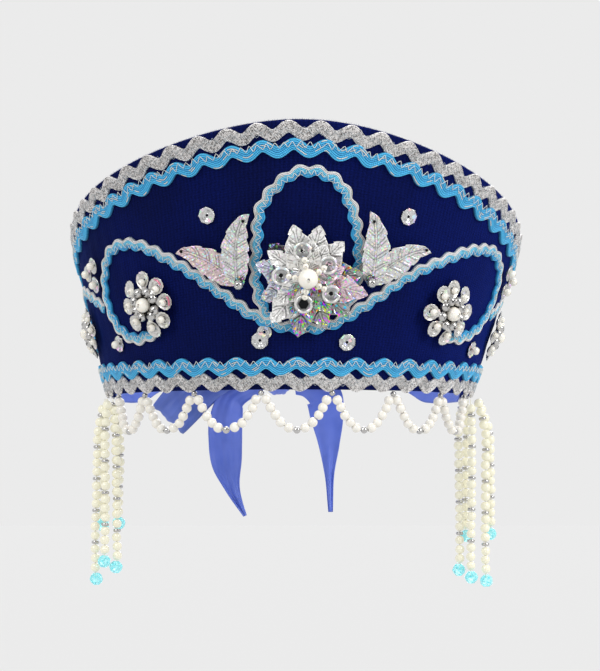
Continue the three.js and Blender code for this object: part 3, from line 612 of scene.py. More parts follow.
def track_frame(around, up):
    """Arc length and the unit heading of a track, on the wall laid flat."""
    reach = np.radians(1) * wall_radius(up)
    across, rise = np.gradient(around) * reach, np.gradient(up) * SLOPE
    step = np.hypot(across, rise)
    length = np.concatenate([[0], np.cumsum((step[1:] + step[:-1]) / 2)])
    return length, np.stack([across / step, rise / step], -1)


def track_at(at, length, around, up, heading):
    """Angle, height, heading and millimetres in a degree at arc lengths along a track."""
    a, u = np.interp(at, length, around), np.interp(at, length, up)
    h = np.stack([np.interp(at, length, heading[:, i]) for i in (0, 1)], -1)
    return a, u, h, np.radians(1) * wall_radius(u)


def lobes(phase):
    """A wave from -1 to 1 with broad round crests and tight troughs."""
    tight = 0.3
    high = math.hypot(1, tight)
    return 2 * (np.hypot(np.cos(phase / 2), tight) - tight) / (high - tight) - 1


def band_on_wall(shape, around, up, width, cords, off, thick, wave, spacing=0.5, grain=0.0, seed=0):
    """A band of parallel cords along a track. wave is (pitch, swing, where a crest lies from the front)."""
    length, heading = track_frame(around, up)
    zero = np.interp(0, around, length) if around[0] < 0 < around[-1] else 0
    even = np.linspace(0, length[-1], int(length[-1] / spacing))
    around, up = np.interp(even, length, around), np.interp(even, length, up)
    heading = unit(np.stack([np.interp(even, length, heading[:, i]) for i in (0, 1)], -1))
    reach = np.radians(1) * wall_radius(up)
    pitch, swing, crest = wave
    phase = (TURN * (even - zero - crest) / pitch)[:, None]
    v = np.linspace(0, 1, cords * 4 + 1)
    bulge = np.abs(np.sin(np.pi * cords * v)) ** 0.7
    rim = np.sqrt(np.clip(1 - np.abs(2 * v - 1) ** 8, 0, 1))
    rise = off + thick * rim * (0.55 + 0.45 * bulge)
    rise[[0, -1]] = off
    across = (v - 0.5) * width + swing * (v * lobes(phase) - (1 - v) * lobes(phase + math.pi))
    lift = np.broadcast_to(rise, across.shape).copy()
    if grain:
        rng = np.random.default_rng(seed)
        lift += grain * rng.normal(size=lift.shape) * rim
        across = across + 0.5 * grain * rng.normal(size=lift.shape)
    place_around = around[:, None] - heading[:, 1:] * across / reach[:, None]
    place_up = up[:, None] + heading[:, :1] * across / SLOPE
    top = wall_point(place_around, place_up, lift)
    under = wall_point(place_around[:, [-1, 0]], place_up[:, [-1, 0]], 0.02)
    rings = np.concatenate([top, under], 1)
    uv = grid_uv(even, np.concatenate([v, [1, 0]]))
    shape.add(rings, [f[:, ::-1] for f in loft_faces(len(rings), rings.shape[1])], uv)


def zigzag(shape, around, up, swing, pitch, off, radius, paint, seed, shift=0.0):
    """A machine zigzag stitch along a track, over what lies there."""
    rng = np.random.default_rng(seed)
    length, heading = track_frame(around, up)
    points = int(length[-1] / pitch * 2)
    at = np.linspace(0, length[-1], points) + rng.normal(0, 0.06 * pitch, points)
    at = np.clip(np.sort(at), 0, length[-1])
    side = swing * np.where(np.arange(points) % 2, 1, -1) * rng.uniform(0.75, 1.15, points)
    side += rng.normal(0, 0.12, points) + shift
    a, u, h, reach = track_at(at, length, around, up, heading)
    a, u = a - h[:, 1] * side / reach, u + h[:, 0] * side / SLOPE
    fine = np.linspace(0, points - 1, points * 4)
    a, u = np.interp(fine, np.arange(points), a), np.interp(fine, np.arange(points), u)
    lift = off + 0.2 * np.abs(np.sin(np.pi * fine))
    tube(shape, wall_point(a, u, lift), radius, 4, paint)


def add_ricrac():
    """Two bands along each edge: its name, edge, end, inset, a crest's place from the front, and pitch."""
    bands = [
        ("top_silver_ricrac", top_edge, 121.0, 4.9, 1.9, 14.4, True),
        ("top_blue_ricrac", top_edge, 117.0, 12.9, 4.8, 14.4, False),
        ("rim_blue_ricrac", rim_edge, 122.0, -11.3, -2.1, 13.96, False),
        ("rim_silver_ricrac", rim_edge, 122.0, -4.2, -6.6, 13.62, True),
    ]
    for seed, (name, edge, end, inset, phase, pitch, silver) in enumerate(bands):
        around, up = edge_track(edge, end, inset)
        shape = Shape()
        if silver:
            band_on_wall(shape, around, up, 5.9, 9, 0.1, 1.0, (pitch, 1.9, phase), 0.5, 0.1, seed)
            for shift in (-0.9, 0.9):
                zigzag(shape, *edge_track(edge, end, inset + shift), 1.1, 4.2, 1.1, 0.08, 1, seed)
            tinsel(shape, around, up, pitch, phase, seed)
            shape.make(name + "_lurex", [LUREX, CLEAR_THREAD, TINSEL], "silver_braid", [name])
        else:
            band_on_wall(shape, around, up, 5.6, 6, 0.75, 1.0, (pitch, 1.8, phase))
            zigzag(shape, *edge_track(edge, end, inset - 1.7), 1.6, 3.9, 0.75 + 1.0, 0.16, 1, seed)
            shape.make(name + "_cords", [BLUE_WAVE, SILVER_THREAD], "blue_braid", [name])


def tinsel(shape, around, up, pitch, phase, seed):
    """Loose fine ends that stand out of the silver band."""
    rng = np.random.default_rng(40 + seed)
    length, heading = track_frame(around, up)
    zero = np.interp(0, around, length)
    count = 900
    at = rng.uniform(0, length[-1], count)
    swung = 2.1 * np.cos(TURN * (at - zero - phase) / pitch) + rng.uniform(-3.0, 3.0, count)
    a, u, h, reach = track_at(at, length, around, up, heading)
    a, u = a - h[:, 1] * swung / reach, u + h[:, 0] * swung / SLOPE
    root = wall_point(a, u, 0.9)
    way = unit(wall_normal(a) * 0.7 + rng.normal(size=(count, 3)) * 0.7)
    way = way * rng.uniform(0.5, 1.3, count)[:, None]
    side = unit(np.cross(way, rng.normal(size=(count, 3)))) * 0.06
    points = np.stack([root - side, root + side, root + way], 1).reshape(-1, 3)
    shape.add(points, np.arange(3 * count).reshape(-1, 3), None, 2)


def smooth_track(table, mirror=1, shift=0.0, drop=0.0, steps=900):
    """A smooth track through (angle, height) rows."""
    scale = math.radians(1) * RIM_RADIUS
    rows = np.array([(mirror * a * scale, u, 0) for a, u in table], float)
    rows = np.concatenate([[2 * rows[0] - rows[1]], rows, [2 * rows[-1] - rows[-2]]])
    knots = np.concatenate([[0], np.cumsum(np.sqrt(np.linalg.norm(np.diff(rows, axis=0), axis=1)))])
    line = []
    for i in range(1, len(rows) - 2):
        last = i == len(rows) - 3
        t = np.linspace(knots[i], knots[i + 1], steps // (len(rows) - 3), endpoint=last)[:, None]
        k, p = knots[i - 1:i + 3], rows[i - 1:i + 3]
        level = [((k[j + 1] - t) * p[j] + (t - k[j]) * p[j + 1]) / (k[j + 1] - k[j]) for j in range(3)]
        level = [((k[j + 2] - t) * level[j] + (t - k[j]) * level[j + 1]) / (k[j + 2] - k[j])
                 for j in range(2)]
        line.append(((k[2] - t) * level[0] + (t - k[1]) * level[1]) / (k[2] - k[1]))
    line = np.concatenate(line)
    return line[:, 0] / scale + shift * mirror, line[:, 1] - drop


SCROLL = [
    (-43.4, 28.4), (-48.4, 25.8), (-54.2, 25.6), (-61.3, 33), (-63.9, 44.6), (-62.4, 56),
    (-57, 67.1), (-47.6, 68.9), (-35.4, 59.7), (-24.5, 47.4), (-13.9, 34.7), (-6.6, 29.6),
    (1.7, 28.4), (8.3, 30.9), (17.8, 41), (27.1, 52.6), (37.6, 61.2), (47, 66.6), (57.6, 66.8),
    (65.2, 57.6), (66.5, 45), (62, 32.7), (54.4, 26.8), (48.6, 26), (45.2, 27.6),
]
LOOP = [
    (-8.4, 32.4), (-11.0, 37.2), (-13.1, 52), (-12.8, 67), (-11.9, 82), (-8, 93), (-3.6, 98.6),
    (1.2, 98.6), (5.9, 94), (9.6, 83), (12.1, 69), (13.1, 56), (12, 41.5), (9.6, 34.8),
]
SIDE_BRAID = [
    (67, 41.2), (72, 44.8), (78.4, 48.6), (84, 50.4), (90, 48.6), (94.8, 44.6), (97.6, 39.8),
    (98.4, 35), (97.4, 29.6), (95, 25), (91.5, 22.4),
]
SIDE_SHIFT = 2.4
SIDE_DROP = 3.2


def add_braids():
    braids = [
        ("scroll_braid", smooth_track(SCROLL), 0.55, 1),
        ("loop_braid", smooth_track(LOOP), 0.1, 1),
        ("side_braid_left", smooth_track(SIDE_BRAID, -1), 0.1, -1),
        ("side_braid_right", smooth_track(SIDE_BRAID, 1, SIDE_SHIFT, SIDE_DROP), 0.1, 1),
    ]
    for seed, (name, (around, up), off, silver_side) in enumerate(braids):
        if silver_side < 0:
            around, up = around[::-1], up[::-1]
        shape = Shape()
        band_on_wall(shape, around, up, 5.0, 7, off, 1.1, (8.4, 0.8, 2.0), 0.5)
        zigzag(shape, around, up, 1.35, 3.1, off + 1.1, 0.15, 1, 20 + seed, -0.6)
        shape.make(name + "_cords", [BRAID, SILVER_THREAD], "blue_braid", [name])


# Leaves, sequins and flowers

LEAF_LENGTH = 33.5
ORNAMENT_OFF = 1.9
PETAL_LAYER = 1.6
FLOWER_UP = 50.2
PETAL_START = 4.5


def leaf_blade(length, width, lobes, veins, curl, crease, seed, start=0.0, tooth_depth=0.1, bend=0.0):
    """An embossed leaf along +X: toothed edges, a midrib and side veins, with their depth in its uv."""
    rows, columns = 76, 31
    u = np.linspace(0, 1, rows)[:, None]
    v = np.linspace(-1, 1, columns)[None]
    rng = np.random.default_rng(seed)
    body = np.sin(np.pi * np.clip(u, 0, 1) ** 0.74) ** 0.8
    tooth = (lobes * u ** 0.92 + 0.15) % 1
    notch = 1 - tooth_depth * ease(tooth, 0.15, 1.0) * ease(u, 0.04, 0.2)
    half = (width / 2) * body * notch + 0.45 * (1 - u)
    x = start + u * (length - start) + 0 * v
    y = half * v
    phase = u * veins - np.abs(v) * 0.8 + 0.2
    vein = phase % 1
    line = np.exp(-((vein - 0.36) / 0.05) ** 2) + np.exp(-((vein - 0.64) / 0.05) ** 2)
    rib = np.exp(-((np.abs(y) - 0.55) / 0.2) ** 2)
    dots = np.exp(-(((phase + 0.5) % 1 - 0.5) / 0.1) ** 2 - ((np.abs(v) * 4.5 % 1 - 0.5) / 0.2) ** 2)
    inner = ease(u, 0.03, 0.08) * (1 - ease(np.abs(v), 0.8, 0.95))
    dent = np.clip(line * inner * (np.abs(y) > 0.6) + rib * (1 - ease(u, 0.8, 0.95)), 0, 1)
    z = crease * np.abs(v) ** 1.3 * body + 0.45 * np.exp(-(y / 0.6) ** 2) * (1 - 0.6 * u)
    z = z + 0.35 * np.exp(-((vein - 0.5) / 0.12) ** 2) * inner - 0.16 * dent + 0.14 * dots * inner
    z = z + 0.05 * noise(np.stack([x, y], -1), 1.5, seed) + curl * u ** 2
    z = z + 0.3 * np.abs(v) ** 3 * np.sin(lobes * TURN * u + rng.uniform(0, TURN))
    heading = np.radians(bend) * (u[:, 0] - 0.5 + 0.7 * ease(u[:, 0], 0.72, 1.0))
    step = (length - start) / (rows - 1)
    axis = np.cumsum(np.stack([np.cos(heading), np.sin(heading)], -1) * step, 0) + [start - step, 0]
    x = axis[:, :1] - y * np.sin(heading)[:, None]
    y = axis[:, 1:] + y * np.cos(heading)[:, None]
    top = np.stack([x, y, z + 0 * x], -1)
    rings = np.concatenate([top, (top - [0, 0, 0.22])[:, ::-1]], 1)
    # The dent depth of the veins and midrib goes into the uv, where the foil darkens it as painted shade.
    depth = np.concatenate([dent + 0 * x, (0 * dent + 0 * x)], 1)
    uv = np.stack([depth, np.concatenate([x, x], 1)], -1)
    return rings, [f[:, ::-1] for f in loft_faces(rows, 2 * columns)], uv


def disc(radius, up, sides=14):
    a = TURN * np.arange(sides) / sides
    points = np.stack([radius * np.cos(a), radius * np.sin(a), 0 * a + up], -1)
    return points, np.arange(sides)[None]


def ridged_sequin(radius, dish, rings, sides=40, facets=0, seed=0, hole=0.7):
    """A pressed sequin with concentric ridges and a toothed edge."""
    rng = np.random.default_rng(seed)
    steps = rings * 4 + 1
    share = np.linspace(0, 1, steps)
    r = hole + (radius - hole) * share
    z = dish * share ** 1.6 + 0.16 * np.cos(TURN * rings * share)
    z[-3:] += [0.06, 0.0, -0.35]
    a = TURN * np.arange(sides) / sides
    wobble = 1 + 0.03 * np.cos(sides / 2 * a) * share[:, None] ** 6
    if facets:
        wobble = wobble * (1 - 0.07 * np.abs(np.sin(facets / 2 * a)) * share[:, None] ** 2)
    lift = 0.06 * rng.normal(size=sides) * share[:, None]
    if facets:
        lift = lift + 0.14 * np.cos(facets * a + seed) * share[:, None]
    x, y = r[:, None] * wobble * np.cos(a), r[:, None] * wobble * np.sin(a)
    top = np.stack([x, y, z[:, None] + lift], -1)
    low = (top - [0, 0, 0.3])[::-1]
    sheet = np.concatenate([top, low])
    rows = len(sheet)
    faces = [grid_faces(rows, sides, True)]
    index = np.arange(sides)
    seam = np.stack([(rows - 1) * sides + index, (rows - 1) * sides + (index + 1) % sides,
                     (index + 1) % sides, index], -1)
    return sheet.reshape(-1, 3), [*faces, seam]


def local_add(shape, points, faces, around, up, off, turn=0.0, paint=0, follow=0.0, shift=(0, 0, 0), uv=None):
    points = np.asarray(points, float) + np.asarray(shift, float)
    shape.add(on_wall(points, around, up, off, turn, follow), faces, uv, paint)


def add_leaves():
    leaves = [
        ("leaf_left_upper", -16.9, 48.6, 1, 81.5, LEAF_FOIL, -40),
        ("leaf_left_lower", -17.6, 48.8, 0, 148.8, LEAF_PINK, 35),
        ("leaf_right_upper", 16.2, 48.8, 1, 93.5, LEAF_FOIL, 26),
        ("leaf_right_lower", 16.8, 49.4, 0, 32.4, LEAF_FOIL, -40),
    ]
    for seed, (name, around, up, layer, turn, foil, bend) in enumerate(leaves):
        shape = Shape()
        length = LEAF_LENGTH + 2.2 * layer
        points, faces, uv = leaf_blade(length, 13.4, 5.6, 6.5, 0.6, 1.1, seed, 0.0, 0.13, bend)
        off = ORNAMENT_OFF + layer * PETAL_LAYER
        local_add(shape, points, faces, around, up, off, turn, uv=uv)
        hole, face = disc(0.75, 0.55)
        place = (LEAF_LENGTH * 0.9, -bend * 0.012, 0)
        local_add(shape, hole, face, around, up, off + 0.75, turn, 1, 0.0, place)
        shape.make(name + "_embossed", [foil, BLACK_HOLE], "foil", [name])
    for name, around, up in [("leaf_bead_left", -16.6, 49.3), ("leaf_bead_right", 15.8, 50.6)]:
        shape = Shape()
        off = ORNAMENT_OFF + 2 * PETAL_LAYER
        # Painted shade: the dark foil cup under each bead stands in for its shadow.
        cup, face = ridged_sequin(2.5, 0.5, 3, 24, 8)
        local_add(shape, cup, face, around, up + 1.2, off - 0.3, 0, 1)
        points, faces = ball(2.2, 24, 15)
        local_add(shape, points, faces, around, up, off + 2.0)
        hole, face = disc(0.5, 0)
        local_add(shape, hole, face, around, up + 0.5, off + 4.16, 0, 2)
        shape.make(name + "_and_cup", [SILVER_BEAD, DARK_FOIL, BLACK_HOLE], "foil", [name])


def add_sequins():
    sequins = [
        ("sequin_upper_left", -25.0, 80.0), ("sequin_upper_right", 24.2, 79.8),
        ("sequin_lower_left", -11.8, 22.9), ("sequin_lower_right", 12.5, 22.2),
        ("sequin_outer_left", -61.5, 23.6), ("sequin_outer_right", 61.4, 21.4),
    ]
    for seed, (name, around, up) in enumerate(sequins):
        shape = Shape()
        points, faces = ridged_sequin(4.1, 0.8, 3, 48, 8, seed)
        local_add(shape, points, faces, around, up, 0.5, 9 * seed)
        hole, face = disc(0.5, 0)
        local_add(shape, hole, face, around, up, 0.72, 0, 2)
        if "outer" in name:
            bead, face = ball(1.95, 18, 12)
            local_add(shape, bead, face, around, up, 3.0, 0, 1)
        shape.make(name + "_ridged", [SEQUIN_FILM, PEARL, BLACK_HOLE], "foil", [name])
    shape = Shape()
    points, faces = ridged_sequin(3.4, 0.5, 3, 40, 0, 9)
    local_add(shape, points, faces, -10.6, 26.6, 0.1)
    shape.make("sequin_under_scroll", [SEQUIN_FILM], "foil")


def add_centre_flower():
    petals = [
        (6, 26.0, 0, HOLO_FOIL), (47, 24.5, 1, SILVER_FOIL), (77, 25.8, 0, SILVER_FOIL),
        (105, 26.6, 1, SILVER_FOIL), (137, 24.0, 0, DARK_FOIL), (163, 25.0, 1, BLUE_FOIL),
        (204, 23.0, 0, BLUE_FOIL), (231, 26.0, 1, SILVER_FOIL), (262, 27.7, 0, HOLO_FOIL),
        (291, 25.0, 1, HOLO_FOIL), (318, 26.0, 0, HOLO_FOIL), (346, 29.0, 1, PINK_FOIL),
    ]
    for i, (turn, reach, layer, foil) in enumerate(petals):
        points, faces, uv = leaf_blade(reach, 14.0, 3.4, 4.0, 1.4, 1.7, 30 + i, PETAL_START, 0.24)
        shape = Shape()
        local_add(shape, points, faces, 0, FLOWER_UP + 1, ORNAMENT_OFF + layer * PETAL_LAYER, turn, uv=uv)
        shape.make(f"flower_petal_{i + 1:02d}_embossed", [foil], "foil", [f"flower_petal_{i + 1:02d}"])
    inner = [(120, 19.0, SILVER_FOIL), (62, 18.5, SILVER_FOIL), (18, 18.0, PINK_FOIL), (185, 18.5, BLUE_FOIL),
             (217, 18.0, SILVER_FOIL), (247, 19.0, HOLO_FOIL), (276, 18.5, HOLO_FOIL), (304, 19.0, HOLO_FOIL),
             (333, 18.5, HOLO_FOIL), (144.4, 23.0, SILVER_FOIL), (84, 18.5, SILVER_FOIL)]
    for i, (turn, reach, foil) in enumerate(inner):
        points, faces, uv = leaf_blade(reach, 11.0, 2.6, 3.5, 1.8, 1.6, 60 + i, 3.0, 0.24)
        shape = Shape()
        off = ORNAMENT_OFF + 1.8 * PETAL_LAYER + 0.25 * (i % 3)
        local_add(shape, points, faces, 0, FLOWER_UP + 1.5, off, turn, uv=uv)
        shape.make(f"inner_petal_{i + 1:02d}", [foil], "foil")
    cups = [(101, 13.0), (34, 11.4), (327, 13.0), (262, 12.0), (174, 12.2)]
    cup_off = ORNAMENT_OFF + 2 * PETAL_LAYER + 1.5
    for i, (turn, ring) in enumerate(cups):
        shape = Shape()
        a = math.radians(turn)
        shift = (ring * math.cos(a), ring * math.sin(a), 0)
        rim = [(3.0, 1.3), (3.1, 1.8), (3.6, 2.3), (4.2, 1.9), (4.5, 1.4), (4.4, 1.2)]
        bowl = [
            (0.9, 0.2), (1.5, 0.75), (1.9, 0.7), (2.3, 1.15), (2.7, 1.1), (3.0, 1.45), (3.0, 1.1),
            (0.9, -0.1),
        ]
        # The rim takes the lighter film and the bowl the darker one: painted light and shade.
        for profile, paint in ((rim, 0), (bowl, 2)):
            points, faces = lathe(profile, 32)
            b = np.arctan2(points[:, 1], points[:, 0])
            points[:, :2] *= ((0.74 if i == 2 else 0.9) * (1 - 0.09 * np.abs(np.sin(4 * b + i))))[:, None]
            points[:, 2] += 0.3 * np.sin(2 * b + 2 * i) * np.hypot(points[:, 0], points[:, 1]) / 4
            local_add(shape, points, faces, 0, FLOWER_UP + 2, cup_off, 0, paint, 0.0, shift)
        # Painted reflection: the fourth cup gets a wide dark hexagon inside it for the dark its facets
        # reflect; the others get a small dark hole.
        wide = i == 3
        hole, face = disc(2.3 if wide else 0.95, 1.5 if wide else 0.3, 6 if wide else 14)
        local_add(shape, hole, face, 0, FLOWER_UP + 2, cup_off, 0, 1, 0.0, shift)
        shape.make(f"flower_cup_{i + 1}_faceted", [CUP_LIT_FILM, BLACK_HOLE, CUP_SHADE], "foil",
                   [f"flower_cup_{i + 1}"])
    shape = Shape()
    points, faces = ball(4.65, 40, 24)
    local_add(shape, points, faces, 0, FLOWER_UP + 2.6, cup_off + 4.6)
    hole, face = disc(0.55, 0)
    local_add(shape, hole, face, 0, FLOWER_UP + 3.1, cup_off + 9.2, 0, 1)
    for turn, ring in cups:
        a = math.radians(turn)
        for reach, rise in ((6.0, 4.0), (8.8, 2.9)):
            points, faces = ball(1.42, 16, 10)
            shift = (reach * math.cos(a), reach * math.sin(a), rise)
            local_add(shape, points, faces, 0, FLOWER_UP + 2.4, cup_off, 0, 0, 0.0, shift)
    shape.make("flower_pearls", [PEARL, BLACK_HOLE], "pearl", ["flower_pearl"])


def teardrop(seed, radius=4.0):
    """A pressed cup sequin with its point towards -X."""
    points, faces = ridged_sequin(radius, 1.7, 3, 28, 0, seed, 0.6)
    a = np.arctan2(points[:, 1], points[:, 0])
    r = np.hypot(points[:, 0], points[:, 1])
    pull = 1 + 0.3 * np.clip(-np.cos(a), 0, 1) ** 6 * (r / radius) ** 2
    points = points * np.stack([pull, 1 - 0.1 * np.clip(-np.cos(a), 0, 1), 0 * a + 1], -1)
    return points, faces


def add_side_flowers():
    flowers = [
        ("side_flower_left", -44.4, 41.4, 1.0), ("side_flower_right", 42.4, 38.0, 1.0),
        ("far_flower_left", -82.0, 31.0, 0.8), ("far_flower_right", 80.0, 30.0, 0.8),
    ]
    for seed, (name, around, up, size) in enumerate(flowers):
        foil, pearls = Shape(), Shape()
        rng = np.random.default_rng(seed)

        def put(shape, piece, rise, turn=0.0, paint=0, shift=(0, 0, 0)):
            points, faces = piece
            points = (np.asarray(points) + shift + [0, 0, rise]) * size
            local_add(shape, points, faces, around, up, ORNAMENT_OFF * size, turn, paint)

        for i in range(8):
            turn = 3 + 45 * i + rng.normal(0, 3)
            ring = 11.5 + rng.normal(0, 0.35)
            points, faces = teardrop(i + 10 * seed)
            lean = rng.uniform(0.1, 0.34)
            c, s = math.cos(lean), math.sin(lean)
            tip = np.array([[c, 0, -s], [0, 1, 0], [s, 0, c]])
            put(foil, (points @ tip, faces), 0.3 + 0.35 * (i % 2), turn, 0, (ring, 0, 0))
            inward = ring - rng.uniform(0.4, 1.6)
            put(pearls, ball(1.75, 18, 12), 2.6, turn, 0, (inward, rng.normal(0, 0.4), 0))
            bead_turn = turn + 20 + rng.normal(0, 4)
            put(foil, ball(2.4, 20, 13), 3.0, bead_turn, 1, (6.3, 0, 0))
            put(foil, disc(0.85, 2.27), 3.0, bead_turn, 2, (6.3 + rng.normal(0, 0.4), rng.normal(0, 0.4), 0))
            if name == "side_flower_left" and i in (0, 1):
                sweep = np.radians(np.linspace(-34, 40, 12))
                line = np.stack([3.5 * np.cos(sweep), 3.5 * np.sin(sweep), 0 * sweep + 1.75], -1)
                stripe = Shape()
                tube(stripe, line, 0.42, 6)
                put(foil, (np.concatenate(stripe.points), stripe.faces), 0.4, turn, 3, (ring, 0, 0))
        put(foil, ridged_sequin(7.2, 0.6, 3, 24), 0.9, 0, 2)
        put(pearls, ball(3.45, 30, 20), 4.3)
        put(pearls, disc(0.45, 3.42), 4.3, 0, 1, (0.3, 0.8, -0.08))
        foil.make(name + "_sequins", [PETAL_FILM, SILVER_BEAD, BLACK_HOLE, PINK_EDGE], "foil", [name])
        pearls.make(name + "_pearls", [PEARL, BLACK_HOLE], "pearl")


def add_trefoils():
    turns = (54, 172, 284)
    for name, around, up, mirror in [("trefoil_left", -67.2, 57.3, 1), ("trefoil_right", 70.9, 55.4, -1)]:
        shape, pearls = Shape(), Shape()
        for i, turn in enumerate(turns):
            turn = turn if mirror == 1 else 180 - turn
            a = math.radians(turn)
            place = (5.1 * math.cos(a), 5.1 * math.sin(a), 0)
            points, faces = ridged_sequin(3.95, 1.5, 4, 40, 0, 90 + i)
            local_add(shape, points, faces, around, up, ORNAMENT_OFF, 0, 0, 0.0, place)
            bead, faces = ball(1.9, 18, 12)
            local_add(pearls, bead, faces, around, up, ORNAMENT_OFF + 2.6, 0, 0, 0.0, place)
        shape.make(name + "_sequins", [SEQUIN_FILM], "foil", [name])
        pearls.make(name + "_pearls", [PEARL], "pearl")


# Pearl strings

SWAG_RADIUS = 88.0
SWAG_TOP = -2.6
SWAG_DROP = 15.6
PEARL_SIZE = 2.3
SWAG_PEARLS = 11
TASSEL_ANGLE = 84.0
FIRST_PEARL = 2.9 + 0.6 + 2.2
PEARL_PITCH = 4.42
RONDELLE_PITCH = 2.25 + 0.95
RONDELLE = [(0.5, -0.75), (1.5, -0.8), (1.9, -0.35), (1.9, 0.35), (1.5, 0.8), (0.5, 0.75)]
STRAND_GROUP = 4


def pearl(radius, sides=16, rows=11):
    """A pearl strung along z: a ball with a small dimple at each pole."""
    points, faces = ball(radius, sides, rows)
    near = np.hypot(points[:, 0], points[:, 1]) < 0.3 * radius
    points[near, 2] *= 0.93
    return points, faces


def along_track(path, gaps):
    """Points and headings at the given lengths along a path."""
    length = np.concatenate([[0], np.cumsum(np.linalg.norm(np.diff(path, axis=0), axis=1))])
    gaps = np.asarray(gaps) * length[-1]
    points = np.stack([np.interp(gaps, length, path[:, i]) for i in range(3)], -1)
    ahead = np.stack([np.interp(gaps + 0.4, length, path[:, i]) for i in range(3)], -1)
    behind = np.stack([np.interp(gaps - 0.4, length, path[:, i]) for i in range(3)], -1)
    return points, unit(ahead - behind)


def add_swags():
    anchors = [-72, -54, -33.3, -11.5, 10.1, 30.6, 51.8, 70.9]
    rng = np.random.default_rng(5)
    pearls, silver = Shape(), Shape()
    points, faces = pearl(PEARL_SIZE)
    bead, bead_faces = ball(1.7, 12, 8)
    for left, right in zip(anchors, anchors[1:]):
        share = np.linspace(0, 1, 60)
        around = np.radians(left + 1.0 + (right - left - 2.0) * share)
        fall = SWAG_TOP + 0.2 - (SWAG_DROP + 0.2) * (1 - np.abs(2 * share - 1) ** 2.2)
        path = np.stack([SWAG_RADIUS * np.sin(around), -SWAG_RADIUS * np.cos(around), fall], -1)
        at = (np.arange(SWAG_PEARLS) + 0.5 + rng.normal(0, 0.02, SWAG_PEARLS)) / SWAG_PEARLS
        centres, ways = along_track(path, at)
        for i, (centre, way) in enumerate(zip(centres, ways)):
            centre = centre + rng.normal(0, 0.12, 3)
            if i == SWAG_PEARLS // 2:
                silver.copies(bead, bead_faces, [placement(centre, way, 0, 1)])
            else:
                spin, size = rng.uniform(0, TURN), rng.uniform(0.97, 1.03)
                pearls.copies(points, faces, [placement(centre, way, spin, size)])
        tube(pearls, path, 0.22, 5)
    for around in anchors:
        a = math.radians(around)
        centre = np.array([SWAG_RADIUS * math.sin(a), -SWAG_RADIUS * math.cos(a), SWAG_TOP + 1.4])
        silver.copies(bead, bead_faces, [placement(centre, (0, 0, 1.0), 0, 0.82)])
    pearls.make("swag_pearls", [STRUNG_PEARL], "pearl", ["pearl_swags"])
    silver.make("swag_silver_beads", [SILVER_BEAD], "foil")


def crystal_bead(radius=3.3, half=2.9):
    """A faceted bead with two rows of eight facets and a table at each end."""
    rows = []
    for up, share, turn in ((-half, 0.42, 0.0), (-0.55 * half, 0.86, 0.5), (0.0, 1.0, 0.0),
                            (0.55 * half, 0.86, 0.5), (half, 0.42, 0.0)):
        a = TURN * (np.arange(8) + turn) / 8
        rows.append(np.stack([radius * share * np.cos(a), radius * share * np.sin(a), 0 * a + up], -1))
    points = np.array(rows)
    quads = grid_faces(5, 8, True)
    even = quads[:, :4]
    tris = np.concatenate([even[:, [0, 1, 2]], even[:, [0, 2, 3]]])
    ends = [np.arange(8)[::-1][None], (np.arange(8) + 32)[None]]
    return points.reshape(-1, 3), [tris, *ends]


def add_tassels():
    strands = [
        ("left", -94.4, -10.0, 89.0), ("left", -84.9, -12.5, 83.2), ("left", -90.6, -15.2, 80.4),
        ("left", -91.4, -4.8, 62.9), ("left", -83.6, -6.8, 62.0),
        ("right", 96.0, -10.0, 90.2), ("right", 88.3, -13.0, 88.4), ("right", 82.6, -9.0, 84.8),
        ("right", 87.0, -3.6, 68.4), ("right", 98.6, -4.0, 67.3),
    ]
    for side in ("left", "right"):
        sign = -1 if side == "left" else 1
        rng = np.random.default_rng(21 + sign)
        a = math.radians(TASSEL_ANGLE)
        head = np.array([sign * SWAG_RADIUS * math.sin(a), -SWAG_RADIUS * math.cos(a), -1.5])
        pearls, silver, drops = Shape(), Shape(), Shape()
        ball_points, ball_faces = pearl(PEARL_SIZE)
        wheel, wheel_faces = lathe(RONDELLE, 14)
        crystal, crystal_faces = crystal_bead()
        for _, x, y, length in [row for row in strands if row[0] == side]:
            end = np.array([x, y, -length])
            t = np.linspace(0, 1, 40)
            ups = head[2] + (end[2] - head[2]) * t
            spread = 0.42 + 0.58 * ease(-(ups - head[2]), -6, 20)
            path = head + (end - head) * spread[:, None]
            path[:, 2] = ups
            path[:, 0] += 0.5 * np.sin(3.1 * t + rng.uniform(0, TURN))
            path[:, 1] += 0.5 * np.sin(2.7 * t + rng.uniform(0, TURN))
            path[-1] = end
            whole = abs(ups[-1] - ups[0])
            at, step = FIRST_PEARL, 0
            tube(pearls, path, 0.22, 5)
            while at < whole - 1.5:
                metal = step % STRAND_GROUP == STRAND_GROUP - 1
                centre, way = along_track(path, [1 - at / whole])
                spin = rng.uniform(0, TURN)
                if metal:
                    silver.copies(wheel, wheel_faces, [placement(centre[0], way[0], spin)])
                    at += RONDELLE_PITCH + 0.1
                else:
                    size = rng.uniform(0.97, 1.03)
                    wiggle = rng.normal(0, 0.1, 3)
                    place = placement(centre[0] + wiggle, way[0], spin, size)
                    pearls.copies(ball_points, ball_faces, [place])
                    following = (step + 1) % STRAND_GROUP == STRAND_GROUP - 1
                    at += RONDELLE_PITCH if following else PEARL_PITCH
                step += 1
            way = (0.1 * rng.normal(), 0.1 * rng.normal(), 1.0)
            drops.copies(crystal, crystal_faces, [placement(end, way, rng.uniform(0, TURN))])
        pearls.make(f"tassel_{side}_pearls", [TASSEL_PEARL], "pearl", [f"tassel_{side}"])
        silver.make(f"tassel_{side}_rondelles", [SILVER_BEAD], "foil")
        drops.make(f"tassel_{side}_crystals", [CRYSTAL], "crystal", (), False)


# Ribbon

RIBBON_THICK = 0.35
KNOT_SIZE = np.array([10.0, 7.0, 11.0])
KNOT_CENTRE = np.array([-1, 96, 15])


